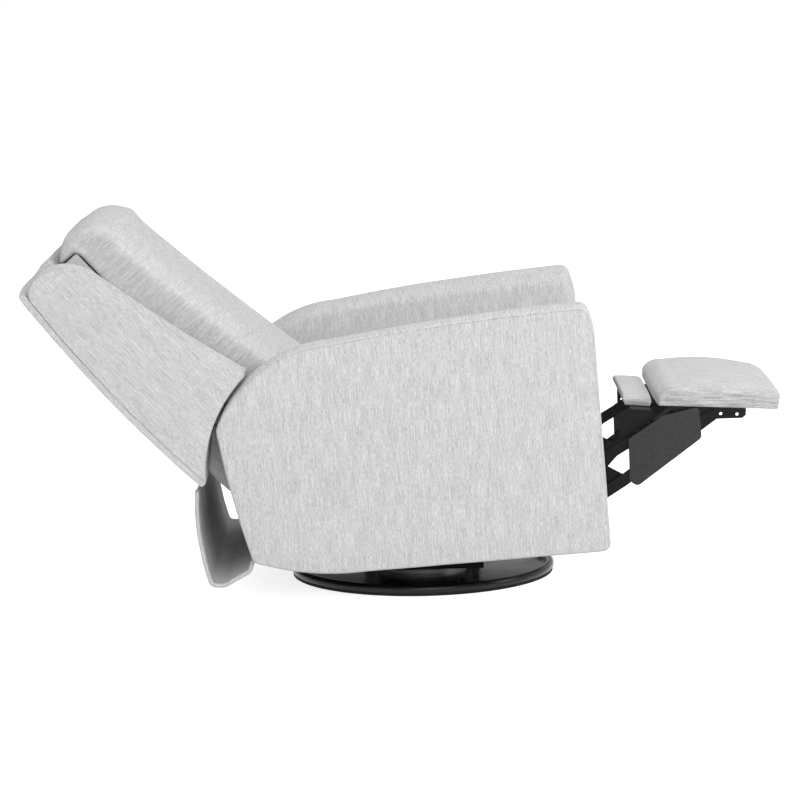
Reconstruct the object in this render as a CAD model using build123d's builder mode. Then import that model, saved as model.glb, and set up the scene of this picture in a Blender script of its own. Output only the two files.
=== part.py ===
"""Swivel glider recliner, drawn reclined with its footrest out.

Millimetres, +Z up, the chair faces -Y and the sitter's right hand is at -X.
The origin is on the floor, on the swivel axis.
"""
from build123d import *
from math import atan2, cos, degrees, hypot, radians, sin
import os

os.makedirs("parts", exist_ok=True)

# ---------------------------------------------------------------- driving dimensions
RUN = 0.05  # radial clearance of a pin in its hole
SOFT_GAP = 0.6  # air between upholstered pieces that don't touch

# how the chair stands in this pose
BODY_TILT = 3.6  # the whole body leans back by this angle when reclined
BACK_LEAN = 42.2  # the outside back, from upright
OTTOMAN_DROP = 2.96  # the ottoman's front end points this far below level

# base
BASE_R = 300.0
RIM_R = 10.0
RIM_Z = 14.0
PAN_Z = 8.0
PAN_T = 3.0
SPINDLE_R = 15.0
BEARING_R = 100.0
BEARING_TOP = 24.0
RAIL_H = 20.0

# glide frame
LINK_Y = 110.0  # the glide links hang this far before and behind the swivel axis
LINK_TOP_Z = 185.0
LINK_LEN = 85.0
LINK_W = 26.0
FRAME_X = 140.0
FRAME_T = 6.0
LINK_X = 148.0
LINK_T = 4.0
CRADLE_X = 154.0
CRADLE_T = 6.0
GLIDE_PIN_R = 6.0
CRADLE_TUBE_R = 11.0

# arms, seen from the side in the level body
ARM_OUTER_X = 422.0
ARM_WIDTH = 130.0
ARM_INNER_X = ARM_OUTER_X - ARM_WIDTH
ARM_FRONT_Y = -410.0
ARM_BOTTOM_Z = 90.0
ARM_TOP_FRONT_Z = 621.0
ARM_CROWN = 8.0  # highest a third of the way in, and falling away to the inner side
ARM_FRONT_BULGE = 4.0
ARM_CORNER_R = 28.0
ARM_REAR_Y = 416.0
ARM_REAR_Z = 424.0
ARM_HEEL_Y = 362.0
ARM_HEEL_Z = 131.0
ARM_ARC_R = 283.0

# side frame, from the arm inwards
RAIL_T = 26.0
PLATE_T = 4.0
RAIL_X = ARM_INNER_X - RAIL_T
PLATE_X = RAIL_X - PLATE_T

# recline pivot, in the level body, and the back around it
RECLINE_Y = 143.0
RECLINE_Z = 306.6
WING_ARC_R = 305.0
BACK_REAR_LOW = 248.0
BACK_REAR_MID = 260.0
BACK_REAR_TOP = 247.0
BACK_LOW = 193.0
BACK_TOP = 750.0
BACK_PANEL_T = 14.0
BACK_BOW = 9.0  # the outside back bulges this much at its middle
CUSHION_CROWN = 20.0
POST_FRONT = 110.0
POST_REAR = 150.0
POST_X = PLATE_X - 1
POST_T = 23.0
WING_INNER_X = POST_X + POST_T
CUSHION_HALF = WING_INNER_X - 5
BRACKET_T = 5.0
CORE_LOW = 98.0

# seat
SEAT_FRONT_Y = -406.0
SEAT_BOTTOM_Z = 412.0
SEAT_TOP_Z = 486.0
SEAT_CROWN = 14.0
LEVER_ROOM = 13.0  # the release lever stands between the seat cushion and the arm
SEAT_HALF = ARM_INNER_X - LEVER_ROOM
RAIL_LOW_Z = 300.0
RAIL_TOP_Z = 395.0

# footrest linkage, pivots in the level body
DRIVE_Y = -239.1
DRIVE_Z = 349.3
DRIVE_REST = (-457.5, 211.0)
FOLLOWER_OFFSET = (46.0, -25.0)  # both ends of the follower link from those of the drive link
BRACKET_PIVOT = (-663.2, 340.3)
CONTROL_OFFSET = (69.0, 12.0)  # both ends of the control link from those of the long link
CONTROL_KNEE = (14.0, 65.0)
TUBE_BEYOND = 30.0  # the cross tube sits on the drive links' tails
BAR_W = 26.0
BAR_T = 4.0
PIN_R = 4.0
HEAD_R = 7.0
LINK_GAP = 1.0  # a washer's width between neighbouring links
SHIELD_X = PLATE_X - 10
LONG_X = SHIELD_X - BAR_T
FOLLOWER_X = LONG_X - BAR_T - LINK_GAP
DRIVE_X = FOLLOWER_X - BAR_T - LINK_GAP
CONTROL_X = DRIVE_X - BAR_T - LINK_GAP
SHIELD_T = 2.5
SHEET_T = 2.0

# ottoman and flipper pads
OTTOMAN_LEN = 272.0
OTTOMAN_HALF = FOLLOWER_X + BAR_T
OTTOMAN_THICK = 59.0
BOARD_T = 12.0
PIVOT_AHEAD = 121.0  # bracket pivot, ahead of the pad's rear edge
PIVOT_BELOW = 16.8
FLIPPER_HALF = CONTROL_X - 53
FLIPPER_LEN = 61.0
FLIPPER_THICK = 13.0
FLIPPER_REAR = (-477.0, 369.0)  # its rear lower edge in the level body
FLIPPER_DROP = 8.4
FLIPPER_BOARD_T = 6.0
BOARD_GAP = 0.3

# flap behind the seat
FLAP_HALF = ARM_OUTER_X - 30
FLAP_T = 3.0


# ---------------------------------------------------------------- planes
def side_plane(x, lean, y0=0.0, z0=0.0):
    """A side view at x: its first axis runs rearwards and its second up, leaning back about (y0, z0)."""
    c, s = cos(radians(lean)), sin(radians(lean))
    return Plane(origin=(x, y0, z0), x_dir=(0, c, -s), z_dir=(1, 0, 0))


def body_plane(x):
    return side_plane(x, BODY_TILT)


def back_plane(x):
    return side_plane(x, BACK_LEAN, *to_world(RECLINE_Y, RECLINE_Z))


def ottoman_plane(x):
    """Its origin is at the pad's rear lower edge, so forwards is negative."""
    rear = OTTOMAN_DROP + BODY_TILT
    y = BRACKET_PIVOT[0] + PIVOT_AHEAD * cos(radians(rear)) - PIVOT_BELOW * sin(radians(rear))
    z = BRACKET_PIVOT[1] + PIVOT_AHEAD * sin(radians(rear)) + PIVOT_BELOW * cos(radians(rear))
    return side_plane(x, -OTTOMAN_DROP, *to_world(y, z))


def to_world(y, z):
    c, s = cos(radians(BODY_TILT)), sin(radians(BODY_TILT))
    return y * c + z * s, -y * s + z * c


def finish(piece, name, color):
    piece.part.label = name
    piece.part.color = Color(*color)
    export_step(piece.part, f"parts/{name}.step")


BLACK = (0.03, 0.03, 0.035)
STEEL = (0.35, 0.36, 0.38)
SHIELD = (0.2, 0.2, 0.21)
CLOTH = (0.78, 0.79, 0.8)
LINING = (0.45, 0.45, 0.46)
WOOD = (0.7, 0.55, 0.36)
RUBBER = (0.06, 0.06, 0.06)
WEB = (0.12, 0.12, 0.13)


def bar(points, width):
    """A flat link's outline: a strip of this width with round ends through two or three points."""
    for start, end in zip(points, points[1:]):
        middle = ((start[0] + end[0]) / 2, (start[1] + end[1]) / 2)
        length = hypot(end[0] - start[0], end[1] - start[1])
        angle = degrees(atan2(end[1] - start[1], end[0] - start[0]))
        with Locations(middle):
            SlotCenterToCenter(length, width, rotation=angle)


def pin(plane, centre, radius, length):
    """A round pin on this plane, along its normal."""
    with BuildSketch(plane) as end:
        with Locations(centre):
            Circle(radius)
    extrude(end.sketch, amount=length)


# ---------------------------------------------------------------- base
with BuildPart() as base_pan:
    with BuildSketch(Plane.XZ):
        with Locations((BASE_R - RIM_R, RIM_Z)):
            Circle(RIM_R)
        with BuildLine():
            Polyline(
                (BASE_R - RIM_R, PAN_Z + PAN_T + 2),
                (BASE_R - 2 * RIM_R - 6, PAN_Z + PAN_T),
                (0, PAN_Z + PAN_T),
                (0, PAN_Z),
                (BASE_R - 2 * RIM_R - 4, PAN_Z),
                (BASE_R - RIM_R, PAN_Z + 2),
                close=True,
            )
        make_face()
    revolve(axis=Axis.Z)
finish(base_pan, "base_pan", BLACK)

with BuildPart() as foot_ring:
    with BuildSketch():
        Circle(BASE_R - RIM_R + 7)
        Circle(BASE_R - RIM_R - 7, mode=Mode.SUBTRACT)
    extrude(amount=RIM_Z - RIM_R + 3)
    with BuildSketch(Plane.XZ):
        with Locations((BASE_R - RIM_R, RIM_Z)):
            Circle(RIM_R + RUN)
    revolve(axis=Axis.Z, mode=Mode.SUBTRACT)
finish(foot_ring, "foot_ring", RUBBER)

with BuildPart() as base_spindle:
    with BuildSketch(Plane.XY.offset(PAN_Z + PAN_T)):
        Circle(BEARING_R)
        Circle(SPINDLE_R + 6, mode=Mode.SUBTRACT)
    extrude(amount=BEARING_TOP - PAN_Z - PAN_T - 4)
    chamfer(base_spindle.edges().group_by(Axis.Z)[-1], 1)
    with BuildSketch(Plane.XY.offset(PAN_Z + PAN_T)):
        Circle(SPINDLE_R)
    extrude(amount=BEARING_TOP + RAIL_H + 6 - PAN_Z - PAN_T)
    with BuildSketch(Plane.XY.offset(PAN_Z + PAN_T)):
        Circle(SPINDLE_R + 7)
    extrude(amount=4)
    with BuildSketch(Plane.XY.offset(BEARING_TOP + 6.6)):
        RegularPolygon(SPINDLE_R + 8, 6)
    extrude(amount=12)
finish(base_spindle, "base_spindle", STEEL)

with BuildPart() as bearing_washer:
    with BuildSketch(Plane.XY.offset(BEARING_TOP - 4)):
        Circle(BEARING_R - 2)
        Circle(BEARING_R - 36, mode=Mode.SUBTRACT)
    extrude(amount=4)
finish(bearing_washer, "bearing_washer", (0.85, 0.85, 0.8))

# ---------------------------------------------------------------- turntable
with BuildPart() as turntable_plate:
    with BuildSketch(Plane.XY.offset(BEARING_TOP + 0.3)):
        Circle(BEARING_R + 10)
        Circle(SPINDLE_R + RUN, mode=Mode.SUBTRACT)
    extrude(amount=6)
    with BuildSketch(Plane.XY.offset(BEARING_TOP + 0.3)):
        with PolarLocations(BEARING_R + 2, 6, start_angle=30):
            Circle(3.5)
    extrude(amount=6, mode=Mode.SUBTRACT)
finish(turntable_plate, "turntable_plate", BLACK)

TABLE_TOP = BEARING_TOP + 6.3
with BuildPart() as turntable_rails:
    with BuildSketch(Plane.YZ.offset(-FRAME_X)):
        for side in (-1, 1):
            with Locations((side * 62, TABLE_TOP + RAIL_H / 2)):
                RectangleRounded(38, RAIL_H, 3)
                Rectangle(32, RAIL_H - 6, mode=Mode.SUBTRACT)
    extrude(amount=2 * FRAME_X)
finish(turntable_rails, "turntable_rails", BLACK)

for name, side in (("glide_frame_right", -1), ("glide_frame_left", 1)):
    frame_side = Plane.YZ.offset(side * FRAME_X)
    reach = side * FRAME_T
    with BuildPart() as glide_frame:
        with BuildSketch(frame_side):
            with BuildLine():
                Polyline(
                    (-LINK_Y - 26, TABLE_TOP),
                    (-LINK_Y - 15, LINK_TOP_Z),
                    (-LINK_Y + 15, LINK_TOP_Z),
                    (-LINK_Y + 46, TABLE_TOP + 50),
                    (LINK_Y - 46, TABLE_TOP + 50),
                    (LINK_Y - 15, LINK_TOP_Z),
                    (LINK_Y + 15, LINK_TOP_Z),
                    (LINK_Y + 26, TABLE_TOP),
                    close=True,
                )
            make_face()
            with Locations((-LINK_Y, LINK_TOP_Z), (LINK_Y, LINK_TOP_Z)):
                Circle(15)
            with Locations((-LINK_Y, TABLE_TOP + 62), (LINK_Y, TABLE_TOP + 62)):
                SlotOverall(44, 20, rotation=90, mode=Mode.SUBTRACT)
        extrude(amount=reach)
        outside = Plane.YZ.offset(side * (FRAME_X + FRAME_T))
        for y in (-LINK_Y, LINK_Y):
            pin(outside, (y, LINK_TOP_Z), GLIDE_PIN_R, side * (LINK_X + LINK_T + 0.8 - FRAME_X - FRAME_T))
    finish(glide_frame, name, BLACK)

# ---------------------------------------------------------------- glide links
for name, y in (("glide_links_front", -LINK_Y), ("glide_links_rear", LINK_Y)):
    with BuildPart() as glide_links:
        with BuildSketch(Plane.YZ.offset(LINK_X)):
            with Locations((y, LINK_TOP_Z - LINK_LEN / 2)):
                SlotCenterToCenter(LINK_LEN, LINK_W, rotation=90)
            with Locations((y, LINK_TOP_Z), (y, LINK_TOP_Z - LINK_LEN)):
                Circle(GLIDE_PIN_R + RUN, mode=Mode.SUBTRACT)
        extrude(amount=LINK_T)
        mirror(about=Plane.YZ)
    finish(glide_links, name, STEEL)

# ---------------------------------------------------------------- cradle
CRADLE_Z = LINK_TOP_Z - LINK_LEN
CRADLE_FRONT_Y = -195.0
TILT_Y = 10.0
TILT_Z = 225.0
TUBE_R = 12.5
REAR_TUBE_Y = 200.0
tilt_y, tilt_z = to_world(TILT_Y, TILT_Z)
rear_y, rear_z = to_world(REAR_TUBE_Y, TILT_Z)

for name, side in (("cradle_rail_right", -1), ("cradle_rail_left", 1)):
    with BuildPart() as cradle_rail:
        with BuildSketch(Plane.YZ.offset(side * CRADLE_X)):
            with BuildLine():
                Polyline(
                    (CRADLE_FRONT_Y - 14, CRADLE_Z - 16),
                    (CRADLE_FRONT_Y - 14, CRADLE_Z + 16),
                    (tilt_y - 62, CRADLE_Z + 16),
                    (tilt_y - 22, tilt_z),
                    (tilt_y + 22, tilt_z),
                    (tilt_y + 50, CRADLE_Z + 40),
                    (rear_y - 46, CRADLE_Z + 40),
                    (rear_y - 24, rear_z - TUBE_R - 0.3),
                    (rear_y + 24, rear_z - TUBE_R - 0.3),
                    (rear_y + 30, CRADLE_Z - 16),
                    close=True,
                )
            make_face()
            with Locations((tilt_y, tilt_z)):
                Circle(22)
                Circle(TUBE_R + RUN, mode=Mode.SUBTRACT)
        extrude(amount=side * CRADLE_T)
        inside = Plane.YZ.offset(side * CRADLE_X)
        for y in (-LINK_Y, LINK_Y):
            pin(inside, (y, CRADLE_Z), GLIDE_PIN_R, -side * (CRADLE_X - LINK_X + 0.8))
    finish(cradle_rail, name, BLACK)

with BuildPart() as cradle_tubes:
    with BuildSketch(Plane.YZ.offset(-CRADLE_X)):
        with Locations((CRADLE_FRONT_Y, CRADLE_Z), (rear_y + 12, CRADLE_Z)):
            Circle(CRADLE_TUBE_R)
            Circle(CRADLE_TUBE_R - 1.5, mode=Mode.SUBTRACT)
    extrude(amount=2 * CRADLE_X)
finish(cradle_tubes, "cradle_tubes", BLACK)

# ---------------------------------------------------------------- body: arms
PIVOT = (RECLINE_Y, RECLINE_Z)


def on_arc(radius, angle):
    return RECLINE_Y + radius * cos(radians(angle)), RECLINE_Z + radius * sin(radians(angle))


def arm_outline(swell):
    """An arm from the side. Its padding swells out along the top and front, most at the corner."""
    front = ARM_FRONT_Y - swell * ARM_FRONT_BULGE / ARM_CROWN
    radius = ARM_ARC_R + 0.7 * swell
    top = ARM_TOP_FRONT_Z + 1.3 * swell
    top_front = (front + ARM_CORNER_R, top)
    nose = (front + 10, top - 17)
    arc_top = on_arc(radius, 86.6)
    rear = (ARM_REAR_Y, ARM_REAR_Z)
    heel = (ARM_HEEL_Y, ARM_HEEL_Z)
    with BuildLine() as edge:
        Line((front, ARM_BOTTOM_Z + 10), (front, top - 71))
        ThreePointArc((front, top - 71), (front + 3.5, top - 41), nose)
        ThreePointArc(nose, (front + 16, top - 5.5), top_front)
        ThreePointArc(top_front, (-190, top - 5 - 0.2 * swell), arc_top)
        ThreePointArc(arc_top, on_arc(radius, 62), on_arc(radius, 38))
        ThreePointArc(on_arc(radius, 38), on_arc(radius + (8 - 0.5 * swell), 30), rear)
        ThreePointArc(rear, ((ARM_REAR_Y + ARM_HEEL_Y) / 2 + 5, (ARM_REAR_Z + ARM_HEEL_Z) / 2 - 1), heel)
        Line(heel, (ARM_HEEL_Y - 6, ARM_HEEL_Z - 3))
        ThreePointArc((ARM_HEEL_Y - 6, ARM_HEEL_Z - 3), (245, 98), (121, ARM_BOTTOM_Z))
        Line((121, ARM_BOTTOM_Z), (front + 10, ARM_BOTTOM_Z))
        Line((front + 10, ARM_BOTTOM_Z), (front, ARM_BOTTOM_Z + 10))
    make_face(edge.line)


for name, side in (("arm_right", -1), ("arm_left", 1)):
    with BuildPart() as arm:
        for share, swell in ((0, 0), (0.28, 1), (0.62, 0.5), (0.86, -0.7), (1, -2.6)):
            with BuildSketch(body_plane(side * (ARM_OUTER_X - share * ARM_WIDTH))):
                arm_outline(swell * ARM_CROWN)
        loft()
    finish(arm, name, CLOTH)

# ---------------------------------------------------------------- body: seat box
RAIL_FRONT_Y = -327.0
RAIL_REAR_Y = 230.0

for name, start in (("side_rail_right", -ARM_INNER_X), ("side_rail_left", RAIL_X)):
    with BuildPart() as side_rail:
        with BuildSketch(body_plane(start)):
            with BuildLine():
                Polyline(
                    (RAIL_FRONT_Y, RAIL_LOW_Z + 40),
                    (RAIL_FRONT_Y, RAIL_TOP_Z),
                    (RAIL_REAR_Y, RAIL_TOP_Z),
                    (RAIL_REAR_Y, RAIL_LOW_Z - 40),
                    (60, RAIL_LOW_Z - 40),
                    (-60, RAIL_LOW_Z + 10),
                    close=True,
                )
            make_face()
        extrude(amount=RAIL_T)
    finish(side_rail, name, WOOD)

FRONT_RAIL_Z = 378.0
FRONT_RAIL_TOP = 398.0
with BuildPart() as front_rail:
    with BuildSketch(body_plane(-ARM_INNER_X)):
        with Locations((RAIL_FRONT_Y - 40, (FRONT_RAIL_Z + FRONT_RAIL_TOP) / 2)):
            Rectangle(80, FRONT_RAIL_TOP - FRONT_RAIL_Z)
    extrude(amount=2 * ARM_INNER_X)
finish(front_rail, "front_rail", WOOD)

with BuildPart() as seat_rear_rail:
    with BuildSketch(body_plane(-PLATE_X)):
        with Locations((80, FRONT_RAIL_TOP - 16)):
            Rectangle(40, 32)
    extrude(amount=2 * PLATE_X)
finish(seat_rear_rail, "seat_rear_rail", WOOD)

with BuildPart() as bottom_rear_rail:
    with BuildSketch(body_plane(-ARM_INNER_X)):
        with Locations((ARM_HEEL_Y - 18, ARM_HEEL_Z + 30)):
            Rectangle(24, 80)
    extrude(amount=2 * ARM_INNER_X)
finish(bottom_rear_rail, "bottom_rear_rail", WOOD)

drive_pivot = (DRIVE_Y, DRIVE_Z)
follower_pivot = (DRIVE_Y + FOLLOWER_OFFSET[0], DRIVE_Z + FOLLOWER_OFFSET[1])
for name, side in (("side_plate_right", -1), ("side_plate_left", 1)):
    with BuildPart() as side_plate:
        with BuildSketch(body_plane(side * RAIL_X)):
            with BuildLine():
                Polyline(
                    (RAIL_FRONT_Y + 6, DRIVE_Z + 4),
                    (RAIL_FRONT_Y + 20, RAIL_TOP_Z - 2),
                    (RECLINE_Y - 30, RAIL_TOP_Z - 2),
                    (RECLINE_Y + 30, RECLINE_Z + 30),
                    (REAR_TUBE_Y + 24, TILT_Z + 22),
                    (REAR_TUBE_Y + 22, TILT_Z - 18),
                    (TILT_Y - 22, TILT_Z - 18),
                    (TILT_Y - 60, DRIVE_Z - 60),
                    (follower_pivot[0] - 30, follower_pivot[1] - 26),
                    close=True,
                )
            make_face()
            with Locations((REAR_TUBE_Y / 2, RAIL_LOW_Z - 20)):
                SlotOverall(90, 34, mode=Mode.SUBTRACT)
            with Locations((-60, DRIVE_Z), (60, DRIVE_Z + 5)):
                SlotOverall(60, 26, mode=Mode.SUBTRACT)
        extrude(amount=-side * PLATE_T)
        face = body_plane(side * PLATE_X)
        pin(face, drive_pivot, 2 * PIN_R, -side * (PLATE_X - DRIVE_X - BAR_T - 0.4))
        pin(face, drive_pivot, PIN_R, -side * (PLATE_X - DRIVE_X + 0.6))
        pin(face, follower_pivot, 2 * PIN_R, -side * (PLATE_X - FOLLOWER_X - BAR_T - 0.4))
        pin(face, follower_pivot, PIN_R, -side * (PLATE_X - FOLLOWER_X + 0.4))
        pin(face, PIVOT, 2 * PIN_R, -side * (BRACKET_T + 1.6))
    finish(side_plate, name, BLACK)

with BuildPart() as body_tubes:
    with BuildSketch(body_plane(-PLATE_X)):
        with Locations((TILT_Y, TILT_Z), (REAR_TUBE_Y, TILT_Z)):
            Circle(TUBE_R)
            Circle(TUBE_R - 2, mode=Mode.SUBTRACT)
    extrude(amount=2 * PLATE_X)
finish(body_tubes, "body_tubes", BLACK)

WEB_W = 50.0
WEB_T = 2.0
with BuildPart() as seat_webbing:
    for x in (-200, -120, -40, 40, 120, 200):
        with BuildSketch(body_plane(x - WEB_W / 2)):
            with Locations(((-400 + 98) / 2, FRONT_RAIL_TOP + WEB_T / 2)):
                Rectangle(98 + 400, WEB_T)
        extrude(amount=WEB_W)
finish(seat_webbing, "seat_webbing", WEB)


def seat_outline(crown):
    """The seat cushion from the side. Its rear end clears the back cushion, which swings just behind it."""
    front, rear = SEAT_FRONT_Y, 72.0
    with BuildLine() as edge:
        Line((front + 8, SEAT_BOTTOM_Z), (front, SEAT_BOTTOM_Z + 8))
        Line((front, SEAT_BOTTOM_Z + 8), (front, SEAT_TOP_Z - 22))
        ThreePointArc((front, SEAT_TOP_Z - 22), (front + 7, SEAT_TOP_Z - 6), (front + 22, SEAT_TOP_Z))
        ThreePointArc((front + 22, SEAT_TOP_Z), (-150, SEAT_TOP_Z + crown), (rear - 12, SEAT_TOP_Z))
        Line((rear - 12, SEAT_TOP_Z), (rear, SEAT_TOP_Z - 12))
        Line((rear, SEAT_TOP_Z - 12), (rear + 4, SEAT_BOTTOM_Z + 16))
        Line((rear + 4, SEAT_BOTTOM_Z + 16), (rear + 4, SEAT_BOTTOM_Z))
        Line((rear + 4, SEAT_BOTTOM_Z), (front + 8, SEAT_BOTTOM_Z))
    make_face(edge.line)


with BuildPart() as seat_cushion:
    for x, crown in ((-SEAT_HALF, 4), (0, 4 + SEAT_CROWN), (SEAT_HALF, 4)):
        with BuildSketch(body_plane(x)):
            seat_outline(crown)
    loft()
finish(seat_cushion, "seat_cushion", CLOTH)

with BuildPart() as seat_deck:
    with BuildSketch(body_plane(-SEAT_HALF)):
        with Locations((-165, (FRONT_RAIL_TOP + WEB_T + SEAT_BOTTOM_Z) / 2)):
            Rectangle(470, SEAT_BOTTOM_Z - FRONT_RAIL_TOP - WEB_T)
    extrude(amount=2 * SEAT_HALF)
finish(seat_deck, "seat_deck", WEB)

# the flap hangs slack from the back's lower edge and comes forward under the body's rear edge
FLAP_ROUTE = ((486, 262), (488.5, 187), (472, 102), (459, 58), (432, 57), (377, 86), (370.6, 106))
FLAP_BENDS = (400, 150, 14, 16, 9)
with BuildPart() as flap:
    with BuildSketch(Plane.YZ.offset(-FLAP_HALF)):
        with BuildLine():
            FilletPolyline(*FLAP_ROUTE, radius=FLAP_BENDS)
            offset(amount=FLAP_T / 2, side=Side.BOTH)
        make_face()
    extrude(amount=2 * FLAP_HALF)
finish(flap, "flap", CLOTH)

# release lever between the seat cushion and the arm, on the sitter's right
LEVER_Y = -180.0
LEVER_Z = RAIL_TOP_Z + 14
with BuildPart() as lever_bracket:
    with BuildSketch(body_plane(-ARM_INNER_X + 1)):
        with Locations((LEVER_Y, RAIL_TOP_Z + 1.5)):
            Rectangle(44, 3)
    extrude(amount=16)
    with BuildSketch(body_plane(-ARM_INNER_X + 1)):
        with Locations((LEVER_Y, RAIL_TOP_Z + 13)):
            Rectangle(30, 22)
    extrude(amount=3)
    fillet(lever_bracket.edges().filter_by(Axis.X).group_by(Axis.Z)[-1], 5)
    pin(body_plane(-ARM_INNER_X + 4), (LEVER_Y, LEVER_Z), PIN_R, 7)
finish(lever_bracket, "lever_bracket", STEEL)

with BuildPart() as release_lever:
    with BuildSketch(body_plane(-ARM_INNER_X + 4.5)):
        bar([(LEVER_Y, LEVER_Z), (LEVER_Y - 26, SEAT_TOP_Z + 26)], 18)
        with Locations((LEVER_Y, LEVER_Z)):
            Circle(PIN_R + RUN, mode=Mode.SUBTRACT)
    extrude(amount=6)
    fillet(release_lever.edges().group_by(Axis.Z)[-1], 1)
finish(release_lever, "release_lever", BLACK)


# ---------------------------------------------------------------- back
def wing_outline(swell):
    """A wing from the side. Its lower edge is an arc about the recline pivot, so it slides round the arm."""
    rear = BACK_PANEL_T + SOFT_GAP
    low_rear = (BACK_REAR_LOW - rear, (WING_ARC_R**2 - (BACK_REAR_LOW - rear) ** 2) ** 0.5)
    low_front = (12.0, (WING_ARC_R**2 - 12.0**2) ** 0.5)
    arc_middle = (WING_ARC_R * cos(radians(63)), WING_ARC_R * sin(radians(63)))
    with BuildLine() as edge:
        ThreePointArc(low_rear, arc_middle, low_front)
        Line(low_front, (5 - swell, 330))
        brow = (88 - swell, BACK_TOP - 76)
        shoulder = (166, BACK_TOP + 7 + swell)
        Line((5 - swell, 330), brow)
        ThreePointArc(brow, (118 - 0.8 * swell, BACK_TOP - 22 + 0.6 * swell), shoulder)
        ThreePointArc(shoulder, (200, BACK_TOP + 12 + swell), (BACK_REAR_TOP - rear - 6, BACK_TOP + swell))
        Line((BACK_REAR_TOP - rear - 6, BACK_TOP + swell), (BACK_REAR_TOP - rear, BACK_TOP - 10))
        ThreePointArc((BACK_REAR_TOP - rear, BACK_TOP - 10), (BACK_REAR_MID - rear, 480), low_rear)
    make_face(edge.line)


for name, inner in (("wing_right", -ARM_OUTER_X), ("wing_left", WING_INNER_X)):
    wing_width = ARM_OUTER_X - WING_INNER_X
    with BuildPart() as wing:
        for share, swell in ((0, 0), (0.5, 7), (1, 0)):
            with BuildSketch(back_plane(inner + share * wing_width)):
                wing_outline(swell)
        loft()
    finish(wing, name, CLOTH)


def back_panel_outline(bow):
    with BuildLine() as edge:
        Line((BACK_REAR_LOW - BACK_PANEL_T, BACK_LOW + 1), (BACK_REAR_LOW + bow - 4, BACK_LOW))
        Line((BACK_REAR_LOW + bow - 4, BACK_LOW), (BACK_REAR_LOW + bow, BACK_LOW + 4))
        top = (BACK_REAR_TOP + bow, BACK_TOP + 1.3 * bow)
        ThreePointArc((BACK_REAR_LOW + bow, BACK_LOW + 4), (BACK_REAR_MID + bow, 480), top)
        ThreePointArc(top, (top[0] - 3, top[1] + 7), (top[0] - 10, top[1] + 9))
        Line((top[0] - 10, top[1] + 9), (BACK_REAR_TOP - BACK_PANEL_T, BACK_TOP))
        middle = (BACK_REAR_MID - BACK_PANEL_T, 480)
        low = (BACK_REAR_LOW - BACK_PANEL_T, BACK_LOW + 1)
        ThreePointArc((BACK_REAR_TOP - BACK_PANEL_T, BACK_TOP), middle, low)
    make_face(edge.line)


with BuildPart() as outside_back:
    for share, bow in ((-1, 0), (-0.8, 0.7 * BACK_BOW), (0, BACK_BOW), (0.8, 0.7 * BACK_BOW), (1, 0)):
        with BuildSketch(back_plane(share * (ARM_OUTER_X - 2))):
            back_panel_outline(bow)
    loft()
finish(outside_back, "outside_back", CLOTH)

for name, start in (("back_post_right", -POST_X - POST_T), ("back_post_left", POST_X)):
    with BuildPart() as back_post:
        with BuildSketch(back_plane(start)):
            with Locations(((POST_FRONT + POST_REAR) / 2, (CORE_LOW + BACK_TOP - 8) / 2)):
                RectangleRounded(POST_REAR - POST_FRONT, BACK_TOP - 8 - CORE_LOW, 6)
        extrude(amount=POST_T)
    finish(back_post, name, WOOD)

with BuildPart() as back_rails:
    with BuildSketch(back_plane(-POST_X)):
        with Locations((POST_REAR - 11, 235), (POST_REAR - 11, 480), (POST_REAR - 11, BACK_TOP - 30)):
            Rectangle(22, 44)
    extrude(amount=2 * POST_X)
finish(back_rails, "back_rails", WOOD)

with BuildPart() as back_webbing:
    for x in (-170, -57, 57, 170):
        with BuildSketch(back_plane(x - WEB_W / 2)):
            with Locations((POST_REAR - 22 - WEB_T / 2, (214 + BACK_TOP - 9) / 2)):
                Rectangle(WEB_T, BACK_TOP - 9 - 214)
        extrude(amount=WEB_W)
finish(back_webbing, "back_webbing", WEB)

with BuildPart() as lower_back:
    with BuildSketch(back_plane(-WING_INNER_X + SOFT_GAP)):
        with BuildLine():
            low_rear = (BACK_REAR_LOW - 24, CORE_LOW + 4)
            rear = (BACK_REAR_LOW - BACK_PANEL_T - SOFT_GAP, BACK_LOW - 6)
            Line((POST_REAR, CORE_LOW + 6), (POST_REAR + 8, CORE_LOW))
            heel = (low_rear[0] + 4, CORE_LOW + 16)
            Line((POST_REAR + 8, CORE_LOW), (low_rear[0] - 12, CORE_LOW))
            ThreePointArc((low_rear[0] - 12, CORE_LOW), (low_rear[0] - 2, CORE_LOW + 5), heel)
            ThreePointArc(heel, (rear[0] - 1, 155), rear)
            Line(rear, (rear[0], BACK_LOW + 6))
            Line((rear[0], BACK_LOW + 6), (POST_REAR, BACK_LOW + 6))
            Line((POST_REAR, BACK_LOW + 6), (POST_REAR, CORE_LOW + 6))
        make_face()
    extrude(amount=2 * (WING_INNER_X - SOFT_GAP))
finish(lower_back, "lower_back", CLOTH)

with BuildPart() as top_border:
    with BuildSketch(back_plane(-WING_INNER_X + SOFT_GAP)):
        with BuildLine():
            front = (POST_REAR + 16, BACK_TOP - 7)
            rear_top = (BACK_REAR_TOP - BACK_PANEL_T - SOFT_GAP, BACK_TOP - 2)
            Line(front, (front[0], BACK_TOP + 19))
            ThreePointArc((front[0], BACK_TOP + 19), (204, BACK_TOP + 20), rear_top)
            Line(rear_top, (rear_top[0] - 2, BACK_TOP - 12))
            Line((rear_top[0] - 2, BACK_TOP - 12), front)
        make_face()
    extrude(amount=2 * (WING_INNER_X - SOFT_GAP))
finish(top_border, "top_border", CLOTH)


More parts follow.
